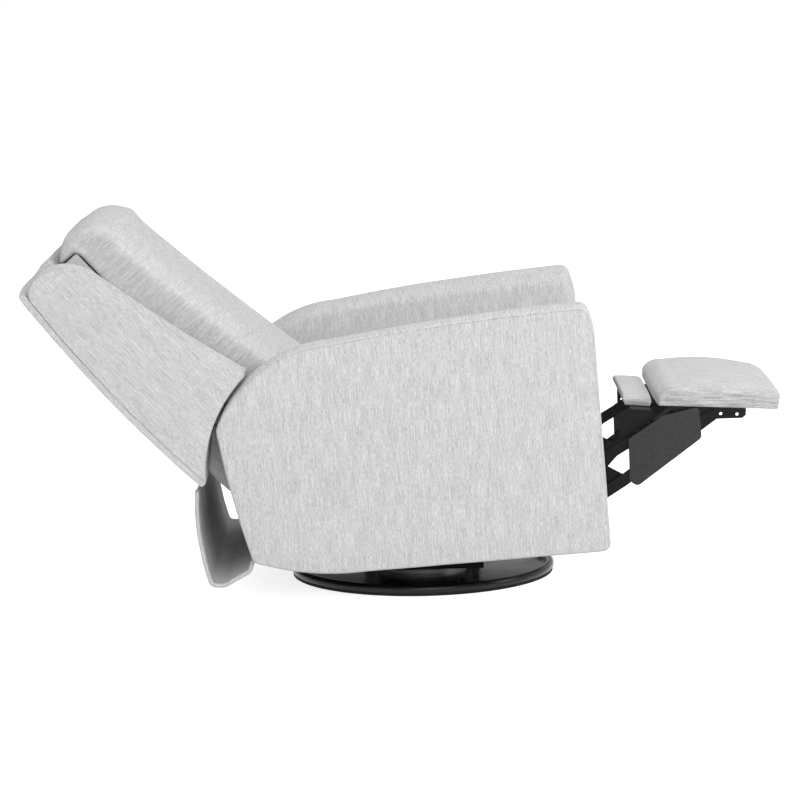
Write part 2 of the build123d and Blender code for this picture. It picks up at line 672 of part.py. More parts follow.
def back_cushion_outline(crown):
    """The back cushion from the side: deep at the lumbar end, its top rolled back over the frame."""
    rear = POST_FRONT - SOFT_GAP
    low = CORE_LOW + 34
    top = BACK_TOP + 21
    shoulder = (92 - 0.5 * crown, top + crown)
    lobe = (160, top - 24 + 0.5 * crown)
    with BuildLine() as edge:
        Line((rear, low), (-45 - 0.5 * crown, low))
        ThreePointArc((-45 - 0.5 * crown, low), (-53 - 0.9 * crown, low + 18), (-46 - crown, low + 64))
        ThreePointArc((-46 - crown, low + 64), (-12.5 - crown, 440), (27 - crown, top - 77))
        ThreePointArc((27 - crown, top - 77), (45 - 0.9 * crown, top - 24 + 0.7 * crown), shoulder)
        ThreePointArc(shoulder, (130, top - 7 + crown), lobe)
        Line(lobe, (POST_REAR, BACK_TOP - 6))
        Line((POST_REAR, BACK_TOP - 6), (rear, BACK_TOP - 6))
        Line((rear, BACK_TOP - 6), (rear, low))
    make_face(edge.line)


with BuildPart() as back_cushion:
    for share, crown in ((-1, 0), (-0.8, 0.75), (0, 1), (0.8, 0.75), (1, 0)):
        with BuildSketch(back_plane(share * CUSHION_HALF)):
            back_cushion_outline(crown * CUSHION_CROWN)
    loft()
finish(back_cushion, "back_cushion", CLOTH)

for name, side in (("back_bracket_right", -1), ("back_bracket_left", 1)):
    with BuildPart() as back_bracket:
        with BuildSketch(back_plane(side * POST_X)):
            with BuildLine():
                Polyline(
                    (-14, 14),
                    (80, 122),
                    (POST_FRONT + 1, 126),
                    (POST_FRONT + 1, 206),
                    (POST_REAR - 2, 206),
                    (POST_REAR - 2, CORE_LOW + 12),
                    (14, -14),
                    close=True,
                )
            make_face()
            Circle(20)
            Circle(2 * PIN_R + RUN, mode=Mode.SUBTRACT)
            with Locations((POST_FRONT + 20, 145), (POST_FRONT + 20, 185)):
                Circle(4, mode=Mode.SUBTRACT)
        extrude(amount=-side * BRACKET_T)
    finish(back_bracket, name, BLACK)

# ---------------------------------------------------------------- footrest linkage
# two equal parallel links carry the long link, which keeps its direction as it swings out
FOLLOWER_REST = (DRIVE_REST[0] + FOLLOWER_OFFSET[0], DRIVE_REST[1] + FOLLOWER_OFFSET[1])
CONTROL_REST = (DRIVE_REST[0] + CONTROL_OFFSET[0], DRIVE_REST[1] + CONTROL_OFFSET[1])
KNEE = (DRIVE_REST[0] + CONTROL_KNEE[0], DRIVE_REST[1] + CONTROL_KNEE[1])
BRACKET_REAR = (BRACKET_PIVOT[0] + CONTROL_OFFSET[0], BRACKET_PIVOT[1] + CONTROL_OFFSET[1])
drive_length = hypot(DRIVE_REST[0] - DRIVE_Y, DRIVE_REST[1] - DRIVE_Z)
tail = TUBE_BEYOND / drive_length
TUBE_PLACE = (DRIVE_Y - tail * (DRIVE_REST[0] - DRIVE_Y), DRIVE_Z - tail * (DRIVE_REST[1] - DRIVE_Z))


def plate(x, thickness, outline):
    """A flat piece in a side plane, its outer face this thickness beyond x."""
    with BuildSketch(body_plane(x)) as side_view:
        outline()
    extrude(side_view.sketch, amount=thickness)


def pivot_holes(*centres):
    with Locations(*centres):
        Circle(PIN_R + RUN, mode=Mode.SUBTRACT)


def drive_outline():
    bar([TUBE_PLACE, DRIVE_REST], BAR_W)
    bar([DRIVE_REST, CONTROL_REST], BAR_W - 4)
    pivot_holes(drive_pivot, DRIVE_REST, CONTROL_REST)


with BuildPart() as drive_links:
    plate(DRIVE_X, BAR_T, drive_outline)
    mirror(about=Plane.YZ)
finish(drive_links, "drive_links", BLACK)

with BuildPart() as drive_tube:
    with BuildSketch(body_plane(-DRIVE_X)):
        with Locations(TUBE_PLACE):
            Circle(9)
            Circle(7.5, mode=Mode.SUBTRACT)
    extrude(amount=2 * DRIVE_X)
finish(drive_tube, "drive_tube", BLACK)


def follower_outline():
    bar([follower_pivot, FOLLOWER_REST], BAR_W - 4)
    pivot_holes(follower_pivot, FOLLOWER_REST)


with BuildPart() as follower_links:
    plate(FOLLOWER_X, BAR_T, follower_outline)
    mirror(about=Plane.YZ)
finish(follower_links, "follower_links", BLACK)


def long_outline():
    bar([FOLLOWER_REST, DRIVE_REST, BRACKET_PIVOT], BAR_W)
    pivot_holes(BRACKET_PIVOT)


with BuildPart() as long_links:
    plate(LONG_X, BAR_T, long_outline)
    for centre, inner in ((DRIVE_REST, DRIVE_X), (FOLLOWER_REST, FOLLOWER_X)):
        pin(body_plane(LONG_X), centre, PIN_R, inner - 0.6 - LONG_X)
        pin(body_plane(inner - 0.4), centre, HEAD_R, -1.4)
    mirror(about=Plane.YZ)
finish(long_links, "long_links", BLACK)

SHIELD_CORNERS = ((-477, 304), (-559, 350), (-637, 362), (-638, 293), (-489, 197), (-473, 210))
SHIELD_BENDS = (6, 40, 8, 14, 12, 10)
for name, side in (("shield_right", -1), ("shield_left", 1)):
    with BuildPart() as shield:
        with BuildSketch(body_plane(side * SHIELD_X)):
            with BuildLine():
                FilletPolyline(*SHIELD_CORNERS, radius=SHIELD_BENDS, close=True)
            make_face()
        extrude(amount=side * SHIELD_T)
        for rivet in ((-612, 339), (-503, 242)):
            pin(body_plane(side * (SHIELD_X + SHIELD_T)), rivet, PIN_R, side * 1.2)
    finish(shield, name, SHIELD)


def control_outline():
    bar([CONTROL_REST, KNEE, BRACKET_REAR], BAR_W - 2)


with BuildPart() as control_links:
    plate(CONTROL_X, BAR_T, control_outline)
    pin(body_plane(CONTROL_X + BAR_T), CONTROL_REST, PIN_R, DRIVE_X - CONTROL_X + 0.4)
    pin(body_plane(CONTROL_X + BAR_T), BRACKET_REAR, PIN_R, FOLLOWER_X - CONTROL_X + 0.4)
    mirror(about=Plane.YZ)
finish(control_links, "control_links", BLACK)


def flipper_plane(x):
    """Its origin is at the flipper's rear lower edge, so forwards is negative."""
    return side_plane(x, BODY_TILT - FLIPPER_DROP, *to_world(*FLIPPER_REAR))


with BuildPart() as flipper_brackets:
    with BuildSketch(body_plane(CONTROL_X - SHEET_T)):
        with BuildLine():
            Polyline(
                (FLIPPER_REAR[0] - 8, KNEE[1] + 16),
                (FLIPPER_REAR[0] - 12, FLIPPER_REAR[1] - 3),
                (FLIPPER_REAR[0] - 59, FLIPPER_REAR[1] - 10),
                (FLIPPER_REAR[0] - 59, KNEE[1] + 44),
                close=True,
            )
        make_face()
        with Locations((FLIPPER_REAR[0] - 35, FLIPPER_REAR[1] - 34)):
            Rectangle(38, 2.5, rotation=FLIPPER_DROP, mode=Mode.SUBTRACT)
        with Locations((FLIPPER_REAR[0] - 22, FLIPPER_REAR[1] - 52)):
            SlotOverall(14, 8, rotation=70, mode=Mode.SUBTRACT)
    extrude(amount=SHEET_T)
    with BuildSketch(flipper_plane(FLIPPER_HALF - 50)):
        with Locations((-35, -SHEET_T / 2)):
            Rectangle(46, SHEET_T)
    extrude(amount=CONTROL_X - FLIPPER_HALF + 50)
    mirror(about=Plane.YZ)
    # a tail plate carries the release cable, on the sitter's right only
    with BuildSketch(body_plane(-CONTROL_X)) as tail_plate:
        with BuildLine():
            Polyline(
                (KNEE[0] + 15, KNEE[1] + 21),
                (KNEE[0] - 1, KNEE[1] + 19),
                (KNEE[0] - 16, KNEE[1] + 24),
                (KNEE[0] - 18, FLIPPER_REAR[1] - 11),
                (FLIPPER_REAR[0] - 5, FLIPPER_REAR[1] - 2),
                (FLIPPER_REAR[0] - 12, FLIPPER_REAR[1] - 3),
                (FLIPPER_REAR[0] - 8, KNEE[1] + 16),
                KNEE,
                (KNEE[0] + 15, KNEE[1] - 5),
                close=True,
            )
        make_face()
    extrude(tail_plate.sketch, amount=SHEET_T)
finish(flipper_brackets, "flipper_brackets", BLACK)


def flipper_outline(height):
    with BuildLine() as edge:
        Line((-2, 0), (3, height - 5))
        ThreePointArc((3, height - 5), (1, height - 1), (-4, height))
        ThreePointArc((-4, height), (-FLIPPER_LEN / 2, height + 1), (-FLIPPER_LEN + 4, height))
        ThreePointArc((-FLIPPER_LEN + 4, height), (-FLIPPER_LEN + 1, height - 2), (-FLIPPER_LEN, height - 5))
        Line((-FLIPPER_LEN, height - 5), (-FLIPPER_LEN + 4, 0))
        Line((-FLIPPER_LEN + 4, 0), (-2, 0))
    make_face(edge.line)


def pad_board(plane, half, length, inset, thickness, gap):
    """The board under a pad, or with a gap the pocket that it sits in."""
    with BuildSketch(plane(-half + inset - gap)) as board:
        with Locations((-length / 2, (thickness + gap) / 2)):
            Rectangle(length - 2 * inset + 2 * gap, thickness + gap)
    extrude(board.sketch, amount=2 * (half - inset + gap), mode=Mode.SUBTRACT if gap else Mode.ADD)


with BuildPart() as flipper_pad:
    full = FLIPPER_THICK + 11
    low = FLIPPER_THICK
    for x, height in ((-1, low), (-0.86, full - 3), (0, full), (0.86, full - 3), (1, low)):
        with BuildSketch(flipper_plane(x * FLIPPER_HALF)):
            flipper_outline(height)
    loft()
    pad_board(flipper_plane, FLIPPER_HALF, FLIPPER_LEN, 9, FLIPPER_BOARD_T, BOARD_GAP)
finish(flipper_pad, "flipper_pad", CLOTH)

with BuildPart() as flipper_board:
    pad_board(flipper_plane, FLIPPER_HALF, FLIPPER_LEN, 9, FLIPPER_BOARD_T, 0)
finish(flipper_board, "flipper_board", WOOD)


# ---------------------------------------------------------------- ottoman
def ottoman_outline(height, drawn):
    length = OTTOMAN_LEN
    with BuildLine() as edge:
        Line((-1 - drawn, 0), (-1 - drawn, 0.45 * height))
        ThreePointArc((-1 - drawn, 0.45 * height), (-14 - drawn, 0.72 * height), (-46, 0.87 * height))
        ThreePointArc((-46, 0.87 * height), (-length / 2, height), (-length + 34, 0.82 * height))
        front = (-length - 5 + 1.5 * drawn, 0.55 * height)
        ThreePointArc((-length + 34, 0.82 * height), (-length + 9 + drawn, 0.72 * height), front)
        Line(front, (-length + drawn, 0))
        Line((-length + drawn, 0), (-1 - drawn, 0))
    make_face(edge.line)


with BuildPart() as ottoman_pad:
    sections = ((-1, 0.57, 5), (-0.87, 0.88, 1), (0, 1, 0), (0.87, 0.88, 1), (1, 0.57, 5))
    for x, share, drawn in sections:
        with BuildSketch(ottoman_plane(x * OTTOMAN_HALF)):
            ottoman_outline(share * OTTOMAN_THICK, drawn)
    loft()
    pad_board(ottoman_plane, OTTOMAN_HALF, OTTOMAN_LEN, 14, BOARD_T, BOARD_GAP)
finish(ottoman_pad, "ottoman_pad", CLOTH)

with BuildPart() as ottoman_board:
    pad_board(ottoman_plane, OTTOMAN_HALF, OTTOMAN_LEN, 14, BOARD_T, 0)
finish(ottoman_board, "ottoman_board", WOOD)

with BuildPart() as ottoman_brackets:
    with BuildSketch(ottoman_plane(FOLLOWER_X)):
        with BuildLine():
            Polyline(
                (-30, 0),
                (-38, -14),
                (-52, -20),
                (-66, -14),
                (-84, -20),
                (-PIVOT_AHEAD + 10, -PIVOT_BELOW - 8),
                (-PIVOT_AHEAD - 10, -PIVOT_BELOW - 8),
                (-190, -21),
                (-197, -14),
                (-197, 0),
                close=True,
            )
        make_face()
        with Locations((-141.6, -13), (-177.7, -13)):
            Circle(3.6, mode=Mode.SUBTRACT)
    extrude(amount=BAR_T)
    with BuildSketch(body_plane(FOLLOWER_X)):
        with Locations(BRACKET_REAR):
            Circle(PIN_R + RUN)
    extrude(amount=BAR_T, mode=Mode.SUBTRACT)
    with BuildSketch(ottoman_plane(FOLLOWER_X - 28)):
        with Locations((-(78 + 197) / 2, -SHEET_T / 2)):
            Rectangle(197 - 78, SHEET_T)
    extrude(amount=28)
    pin(body_plane(FOLLOWER_X + BAR_T), BRACKET_PIVOT, PIN_R, LONG_X - FOLLOWER_X + 0.4)
    pin(body_plane(LONG_X + BAR_T + 0.3), BRACKET_PIVOT, HEAD_R, 2)
    mirror(about=Plane.YZ)
finish(ottoman_brackets, "ottoman_brackets", BLACK)
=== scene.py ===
# %% [markdown]
# # A swivel glider recliner, reclined, with its footrest out
# The steel, wood and plastic come from the CAD model. This notebook gives every CAD node a finish, and makes
# each upholstered piece again as cloth over foam. Lengths in the outlines are millimetres in the piece's own
# side view, and the meshes are metres in the chair's frame.

# %% Load the frame
import math

import bmesh
import bpy
import numpy as np
from mathutils import Matrix, Vector, geometry, noise


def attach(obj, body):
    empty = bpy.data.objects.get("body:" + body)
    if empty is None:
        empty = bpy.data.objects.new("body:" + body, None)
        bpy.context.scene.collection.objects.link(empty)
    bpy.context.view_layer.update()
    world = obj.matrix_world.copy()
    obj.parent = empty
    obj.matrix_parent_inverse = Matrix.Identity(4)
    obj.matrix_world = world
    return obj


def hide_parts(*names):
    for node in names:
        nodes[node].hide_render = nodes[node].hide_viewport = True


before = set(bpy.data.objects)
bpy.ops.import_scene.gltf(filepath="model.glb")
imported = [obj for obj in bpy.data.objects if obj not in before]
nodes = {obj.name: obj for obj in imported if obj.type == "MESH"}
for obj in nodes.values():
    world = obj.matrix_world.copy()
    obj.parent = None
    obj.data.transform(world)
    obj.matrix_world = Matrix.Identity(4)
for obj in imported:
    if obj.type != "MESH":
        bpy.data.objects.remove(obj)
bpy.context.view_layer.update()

# %% [markdown]
# ## Camera
# The photograph was taken from the sitter's right, a little above the seat, through a long lens. The place,
# tilt and lens were worked out from the chair's outline in it and from the sizes taken for the chair.

# %% Camera
CAMERA_PLACE = Vector((-7.432, 0.044, 1.484))
CAMERA_PITCH = math.radians(8.34)
CAMERA_ROLL = math.radians(1.30)
CAMERA_LENS, CAMERA_SENSOR = 148.55, 36
look = Vector((math.cos(CAMERA_PITCH), 0, -math.sin(CAMERA_PITCH)))
level_right, level_up = Vector((0, -1, 0)), Vector((math.sin(CAMERA_PITCH), 0, math.cos(CAMERA_PITCH)))
right = level_right * math.cos(CAMERA_ROLL) - level_up * math.sin(CAMERA_ROLL)
up = level_right * math.sin(CAMERA_ROLL) + level_up * math.cos(CAMERA_ROLL)
camera = bpy.data.objects.new("camera", bpy.data.cameras.new("camera"))
camera.data.lens = CAMERA_LENS
camera.data.sensor_width = CAMERA_SENSOR
camera.data.clip_end = 100
turn = Matrix((right, up, -look)).transposed()
camera.matrix_world = Matrix.Translation(CAMERA_PLACE) @ turn.to_4x4()
bpy.context.scene.collection.objects.link(camera)
bpy.context.scene.camera = camera
bpy.context.scene.view_settings.view_transform = "Standard"
print("camera at", tuple(CAMERA_PLACE), "lens", CAMERA_LENS)

# %% [markdown]
# ## Finishes
# A finish is a node tree that ends in one Principled shader. `finish_tree` starts one, and `add` makes a node
# with its settings and inputs in one line, so each finish below reads as a short recipe.


# %% Helpers for finishes
def finish_tree(name, **constants):
    """A new material with its Principled shader's own sockets set to constants."""
    material = bpy.data.materials.new(name)
    material.use_nodes = True
    shader = material.node_tree.nodes["Principled BSDF"]
    for socket, value in constants.items():
        shader.inputs[socket.replace("_", " ")].default_value = value
    return material, material.node_tree, shader


def add(tree, kind, inputs=(), **settings):
    """One node. Inputs are values or sockets, by name or index."""
    node = tree.nodes.new(kind)
    for key, value in settings.items():
        setattr(node, key, value)
    for key, value in dict(inputs).items():
        if isinstance(value, bpy.types.NodeSocket):
            tree.links.new(value, node.inputs[key])
        else:
            node.inputs[key].default_value = value
    return node


def noise_at(tree, coordinates, scale, stretch=(1, 1, 1), detail=2.0, roughness=0.5):
    """Noise on stretched coordinates, as a value from 0 to 1."""
    stretched = {"Vector": coordinates, "Scale": tuple(scale * s for s in stretch)}
    mapped = add(tree, "ShaderNodeMapping", stretched).outputs[0]
    settings = {"Vector": mapped, "Scale": 1.0, "Detail": detail, "Roughness": roughness}
    return add(tree, "ShaderNodeTexNoise", settings).outputs["Fac"]


def waves_at(tree, coordinates, scale, distortion, detail, direction):
    """Parallel ribs on coordinates, as a value from 0 to 1."""
    settings = {"Vector": coordinates, "Scale": scale, "Distortion": distortion, "Detail": detail}
    return add(tree, "ShaderNodeTexWave", settings, bands_direction=direction).outputs["Fac"]


def combine(tree, operation, a, b):
    """One calculation on two values or sockets."""
    return add(tree, "ShaderNodeMath", {0: a, 1: b}, operation=operation).outputs[0]


def spread(tree, value, low, high, out_low=0.0, out_high=1.0):
    """Stretches a value from low..high to out_low..out_high, and holds it there."""
    inputs = {"Value": value, "From Min": low, "From Max": high, "To Min": out_low, "To Max": out_high}
    return add(tree, "ShaderNodeMapRange", inputs).outputs["Result"]


def two_tone(tree, factor, dark, light):
    """A colour between two greys, or two colours."""
    dark, light = [(c, c, c, 1) if isinstance(c, float) else (*c, 1) for c in (dark, light)]
    node = add(tree, "ShaderNodeMix", data_type="RGBA")
    tree.links.new(factor, node.inputs["Factor"])
    node.inputs["A"].default_value, node.inputs["B"].default_value = dark, light
    return node.outputs["Result"]


def bump(tree, shader, height, distance, strength):
    """Roughens a shader's surface by a height."""
    node = add(tree, "ShaderNodeBump", {"Height": height, "Strength": strength, "Distance": distance})
    tree.links.new(node.outputs[0], shader.inputs["Normal"])


# %% [markdown]
# ### The upholstery cloth
# The cloth is a pale grey melange: slubby warp threads of slightly different greys lie side by side, so each
# panel shows short soft streaks along its warp, and a fine plain weave close up. The piece's UV map is the
# cloth itself, in metres with V along the warp, so streaks follow every panel however it is turned. Where
# the cloth is drawn together at a seam or gathered in a hollow, painted shade darkens it in fine tucks.

# %% Upholstery cloth
# Each layer of noise has its stretch across and along the warp, its detail and its weight.
SLUBS = ((460, 22, 1), 1.5, 0.3)
THREADS = ((620, 95, 1), 1.0, 0.3)
FLECKS = ((560, 380, 1), 1.0, 0.3)
PATCHES = ((60, 9, 1), 2.0, 0.1)
TUCK_SHADE_STRETCH = (330, 14, 1)
WEFT_SCALE, WARP_SCALE = 210.0, 170.0


def woven_cloth(name, dark, light, streak=1.0):
    """The cloth between two greys. A lower streak evens its threads out."""
    material, tree, shader = finish_tree(name, Roughness=0.92, Sheen_Weight=0.12, Sheen_Roughness=0.5)
    shader.inputs["Specular IOR Level"].default_value = 0.2
    cloth = add(tree, "ShaderNodeUVMap", uv_map="cloth").outputs[0]
    grain = 0.0
    for stretch, detail, weight in (SLUBS, THREADS, FLECKS, PATCHES):
        layer = noise_at(tree, cloth, 1.0, stretch, detail)
        grain = combine(tree, "ADD", grain, combine(tree, "MULTIPLY", layer, weight))
    tone = spread(tree, grain, 0.5 - 0.13 / streak, 0.5 + 0.13 / streak)
    colour = two_tone(tree, tone, dark, light)
    # Painted shade: the seam attribute darkens the colour by a tuck pattern in sewn seams and gathered
    # hollows.
    seam = add(tree, "ShaderNodeAttribute", attribute_name="seam", attribute_type="GEOMETRY").outputs["Fac"]
    tuck_shade = spread(tree, noise_at(tree, cloth, 1.0, TUCK_SHADE_STRETCH), 0.42, 0.66, 0.1, 0.62)
    shade = combine(tree, "SUBTRACT", 1.0, combine(tree, "MULTIPLY", seam, tuck_shade))
    tinted = add(tree, "ShaderNodeVectorMath", {0: colour, 1: shade}, operation="MULTIPLY")
    tree.links.new(tinted.outputs[0], shader.inputs["Base Color"])
    weft = waves_at(tree, cloth, WEFT_SCALE, 0.6, 1.0, "X")
    warp = waves_at(tree, cloth, WARP_SCALE, 0.6, 1.0, "Y")
    weave = combine(tree, "MULTIPLY", weft, warp)
    height = combine(tree, "ADD", combine(tree, "MULTIPLY", weave, 0.5), grain)
    bump(tree, shader, height, 0.0012, 0.5)
    return material


cloth = woven_cloth("upholstery_cloth", 0.4, 0.76)
# The flap's lining is plainer, and painted paler than the cloth as painted light inside the flap's shaded
# trough.
painted_light_lining = woven_cloth("flap_lining_painted_light", 0.6, 0.78, streak=0.5)
thread, _, thread_shader = finish_tree("stitch_thread", Roughness=0.7)
thread_shader.inputs["Base Color"].default_value = (0.6, 0.6, 0.61, 1)
print("cloths", cloth.name, painted_light_lining.name)

# %% [markdown]
# ### Steel, plastic, wood and rubber
# Powder coat is a fine pebbled skin with a soft gloss. The base pan is smoother, and its rim shows the soft
# boxes as long highlights. The shields are moulded plastic with a spark-eroded texture, a little paler. The
# rails that the cloth is stapled to are wrapped in pale fibre.


# %% Hard finishes
def coated(name, colour, roughness, pebble, variation=0.3, metallic=0.0, specular=0.5, wear_scale=14.0):
    """A coated or bare hard surface: its colour and gloss wander a little, and its skin is pebbled."""
    material, tree, shader = finish_tree(name, Metallic=metallic)
    shader.inputs["Specular IOR Level"].default_value = specular
    place = add(tree, "ShaderNodeTexCoord").outputs["Object"]
    wear = noise_at(tree, place, wear_scale, detail=5.0, roughness=0.6)
    tone = spread(tree, wear, 0.3, 0.7)
    dark, light = tuple(c * (1 - variation) for c in colour), tuple(c * (1 + variation) for c in colour)
    tree.links.new(two_tone(tree, tone, dark, light), shader.inputs["Base Color"])
    gloss = spread(tree, wear, 0.25, 0.75, roughness - 0.06, roughness + 0.08)
    tree.links.new(gloss, shader.inputs["Roughness"])
    bump(tree, shader, noise_at(tree, place, pebble), 0.0002, 0.35)
    return material


def ply_wood(name):
    """Birch plywood with its grain along x."""
    material, tree, shader = finish_tree(name, Roughness=0.65)
    place = add(tree, "ShaderNodeTexCoord").outputs["Object"]
    grain = noise_at(tree, place, 1.0, (9, 60, 60), detail=4.0)
    colour = two_tone(tree, spread(tree, grain, 0.3, 0.7), (0.42, 0.28, 0.15), (0.68, 0.5, 0.31))
    tree.links.new(colour, shader.inputs["Base Color"])
    bump(tree, shader, grain, 0.0004, 0.4)
    return material


def elastic_webbing(name):
    """Black ribbed webbing."""
    material, tree, shader = finish_tree(name, Roughness=0.85)
    place = add(tree, "ShaderNodeTexCoord").outputs["Object"]
    ribs = waves_at(tree, place, 260.0, 0.3, 2.0, "X")
    tree.links.new(two_tone(tree, ribs, 0.012, 0.03), shader.inputs["Base Color"])
    bump(tree, shader, ribs, 0.0006, 0.5)
    return material


finishes = {
    "metal_black": coated("powder_coat", (0.0045, 0.0045, 0.005), 0.45, 1500.0, specular=0.16),
    "pan": coated("gloss_black", (0.004, 0.004, 0.0045), 0.2, 420.0, specular=0.35),
    "steel": coated("zinc_steel", (0.42, 0.43, 0.44), 0.35, 900.0, 0.15, metallic=1.0),
    "rubber": coated("rubber", (0.012, 0.012, 0.012), 0.75, 600.0, specular=0.3),
    "bearing": coated("nylon_bearing", (0.72, 0.71, 0.66), 0.5, 500.0, 0.08),
    "plastic_black": coated("black_plastic", (0.014, 0.014, 0.015), 0.45, 700.0),
    "shield": coated("shield_plastic", (0.035, 0.035, 0.036), 0.62, 500.0, specular=0.25, wear_scale=230.0),
    "wood": ply_wood("plywood"),
    "webbing": elastic_webbing("elastic_webbing"),
    "wrap": coated("frame_wrap", (0.5, 0.5, 0.5), 0.9, 900.0, 0.14, specular=0.1, wear_scale=320.0),
}
wearers = {
    "pan": ["base_pan"],
    "rubber": ["foot_ring"],
    "bearing": ["bearing_washer"],
    "steel": ["base_spindle", "glide_links_front", "glide_links_rear", "lever_bracket"],
    "shield": ["shield_right", "shield_left"],
    "plastic_black": ["release_lever"],
    "webbing": ["seat_webbing", "back_webbing", "seat_deck"],
    "wood": ["seat_rear_rail", "flipper_board", "ottoman_board"],
    "wrap": ["front_rail", "side_rail_right", "side_rail_left", "bottom_rear_rail", "back_post_right",
             "back_post_left", "back_rails"],
}
chosen = {name: finish for finish, names in wearers.items() for name in names}
for name, node in nodes.items():
    node.data.materials.clear()
    node.data.materials.append(finishes[chosen.get(name, "metal_black")])
print("finishes", len(finishes))

# %% [markdown]
# ## Where a side view stands
# The chair is drawn in side views: first axis rearwards, second up, in millimetres. The body leans back 3.6
# degrees about the floor point under the swivel. The back, the footrest and the flipper pad each have their
# own view. A view's `place` function turns its points into the chair's frame.

# %% Side views
BODY_TILT, BACK_LEAN = 3.6, 42.2
OTTOMAN_DROP, FLIPPER_DROP = 2.96, 8.4
RECLINE = (143.0, 306.6)
BRACKET_PIVOT = (-663.2, 340.3)
REAR_FROM_PIVOT = (121.0, 16.8)
FLIPPER_REAR = (-477.0, 369.0)


def side_view(lean, y0=0.0, z0=0.0):
    """The function that places (x, rearwards, up) of a side view, and the view's three directions."""
    c, s = math.cos(math.radians(lean)), math.sin(math.radians(lean))

    def place(x, points):
        points = np.asarray(points, float)
        x = np.broadcast_to(np.asarray(x, float), points.shape[:-1])
        y = y0 + points[..., 0] * c + points[..., 1] * s
        z = z0 - points[..., 0] * s + points[..., 1] * c
        return np.stack([x, y, z], -1) / 1000

    return place, np.array([[1, 0, 0], [0, c, -s], [0, s, c]])


def tilted(y, z):
    """A point of the body's side view, in the chair's frame."""
    c, s = math.cos(math.radians(BODY_TILT)), math.sin(math.radians(BODY_TILT))
    return y * c + z * s, -y * s + z * c


rear_angle = math.radians(OTTOMAN_DROP + BODY_TILT)
c, s = math.cos(rear_angle), math.sin(rear_angle)
ottoman_rear = (BRACKET_PIVOT[0] + REAR_FROM_PIVOT[0] * c - REAR_FROM_PIVOT[1] * s,
                BRACKET_PIVOT[1] + REAR_FROM_PIVOT[0] * s + REAR_FROM_PIVOT[1] * c)
in_body = side_view(BODY_TILT)
in_back = side_view(BACK_LEAN, *tilted(*RECLINE))
in_ottoman = side_view(-OTTOMAN_DROP, *tilted(*ottoman_rear))
in_flipper = side_view(BODY_TILT - FLIPPER_DROP, *tilted(*FLIPPER_REAR))
print("ottoman's rear edge", ottoman_rear)

# %% [markdown]
# ## Outlines
# A cover is cut from flat panels, so each piece starts as the outline of its side panel. `trace` runs round
# it through straight runs and arcs, and `soften` rounds its corners as foam does. The same number of points
# is kept for a piece's swollen outline, so one can turn into the other across its width.


# %% Outline helpers
def arc_through(start, middle, end, count):
    """Points on the circle through three points, from the first, without the last."""
    (ax, ay), (bx, by), (cx, cy) = start, middle, end
    d = 2 * (ax * (by - cy) + bx * (cy - ay) + cx * (ay - by))
    a, b, c = ax**2 + ay**2, bx**2 + by**2, cx**2 + cy**2
    ux = (a * (by - cy) + b * (cy - ay) + c * (ay - by)) / d
    uy = (a * (cx - bx) + b * (ax - cx) + c * (bx - ax)) / d
    radius = math.hypot(ax - ux, ay - uy)
    a0, a1, a2 = (math.atan2(y - uy, x - ux) for x, y in (start, middle, end))
    sweep = (a2 - a0) % (2 * math.pi)
    if (a1 - a0) % (2 * math.pi) > sweep:
        sweep -= 2 * math.pi
    angles = a0 + sweep * np.arange(count) / count
    return np.stack([ux + radius * np.cos(angles), uy + radius * np.sin(angles)], -1)


def trace(pieces, counts=None, step=3.0):
    """A closed outline through runs of two points and arcs of three, as points about a step apart."""
    points, used = [], []
    for k, piece in enumerate(pieces):
        corners = np.array(piece, float)
        length = np.linalg.norm(np.diff(corners, axis=0), axis=1).sum()
        count = counts[k] if counts else max(1, round(length / step))
        if len(piece) == 3:
            points.append(arc_through(*piece, count))
        else:
            points.append(corners[0] + (corners[1] - corners[0]) * (np.arange(count) / count)[:, None])
        used.append(count)
    return np.concatenate(points), used


def soften(points, reach):
    """Rounds a closed outline: each point becomes the average of those within reach, by a bell curve."""
    steps = np.arange(-12, 13)
    weights = np.exp(-0.5 * (steps * 3.0 / reach) ** 2)
    rolled = sum(w * np.roll(points, -k, axis=0) for k, w in zip(steps, weights))
    return rolled / weights.sum()


def runs_left(outline):
    """Whether a closed outline runs round with its inside on the left."""
    after = np.roll(outline, -1, 0)
    return (outline[:, 0] * after[:, 1] - outline[:, 1] * after[:, 0]).sum() > 0


def inwards(points):
    """The inward unit normal at each point of a closed outline."""
    along = np.roll(points, -1, 0) - np.roll(points, 1, 0)
    along /= np.maximum(np.linalg.norm(along, axis=1, keepdims=True), 1e-9)
    return np.stack([-along[:, 1], along[:, 0]], -1) * (1 if runs_left(points) else -1)


def draw_in(outline, depth):
    """The outline moved inwards by a depth, in small steps that keep its corners from folding over."""
    steps = max(1, round(depth / 1.5))
    for _ in range(steps if depth > 0 else 0):
        outline = soften(outline + inwards(outline) * (depth / steps), 2.2)
    return outline


def swelling(pieces, low, high, reach, power=2.0, step=3.0):
    """A profile whose side view is pieces(low) at both sides and pieces(high) at the middle of the width."""
    flat, counts = trace(pieces(low), step=step)
    flat, full = soften(flat, reach), soften(trace(pieces(high), counts)[0], reach)
    return lambda share: flat + (full - flat) * (1 - abs(share) ** power)


# %% [markdown]
# ## Meshes
# These helpers make a piece, keep what its modifiers give, and read and move its points.


# %% Mesh helpers
def new_piece(name, points, faces, edges=()):
    """A mesh object in the scene, through points in metres."""
    mesh = bpy.data.meshes.new(name)
    mesh.from_pydata(np.asarray(points, float).tolist(), list(edges), faces)
    mesh.update()
    piece = bpy.data.objects.new(name, mesh)
    bpy.context.scene.collection.objects.link(piece)
    return piece


def keep_result(piece):
    """Makes the result of a piece's modifiers its plain mesh."""
    mesh = bpy.data.meshes.new_from_object(piece.evaluated_get(bpy.context.evaluated_depsgraph_get()))
    piece.modifiers.clear()
    old, piece.data = piece.data, mesh
    piece.vertex_groups.clear()
    bpy.data.meshes.remove(old)
    return mesh


def smooth(mesh):
    """Shades a mesh smooth."""
    mesh.polygons.foreach_set("use_smooth", [True] * len(mesh.polygons))
    mesh.update()


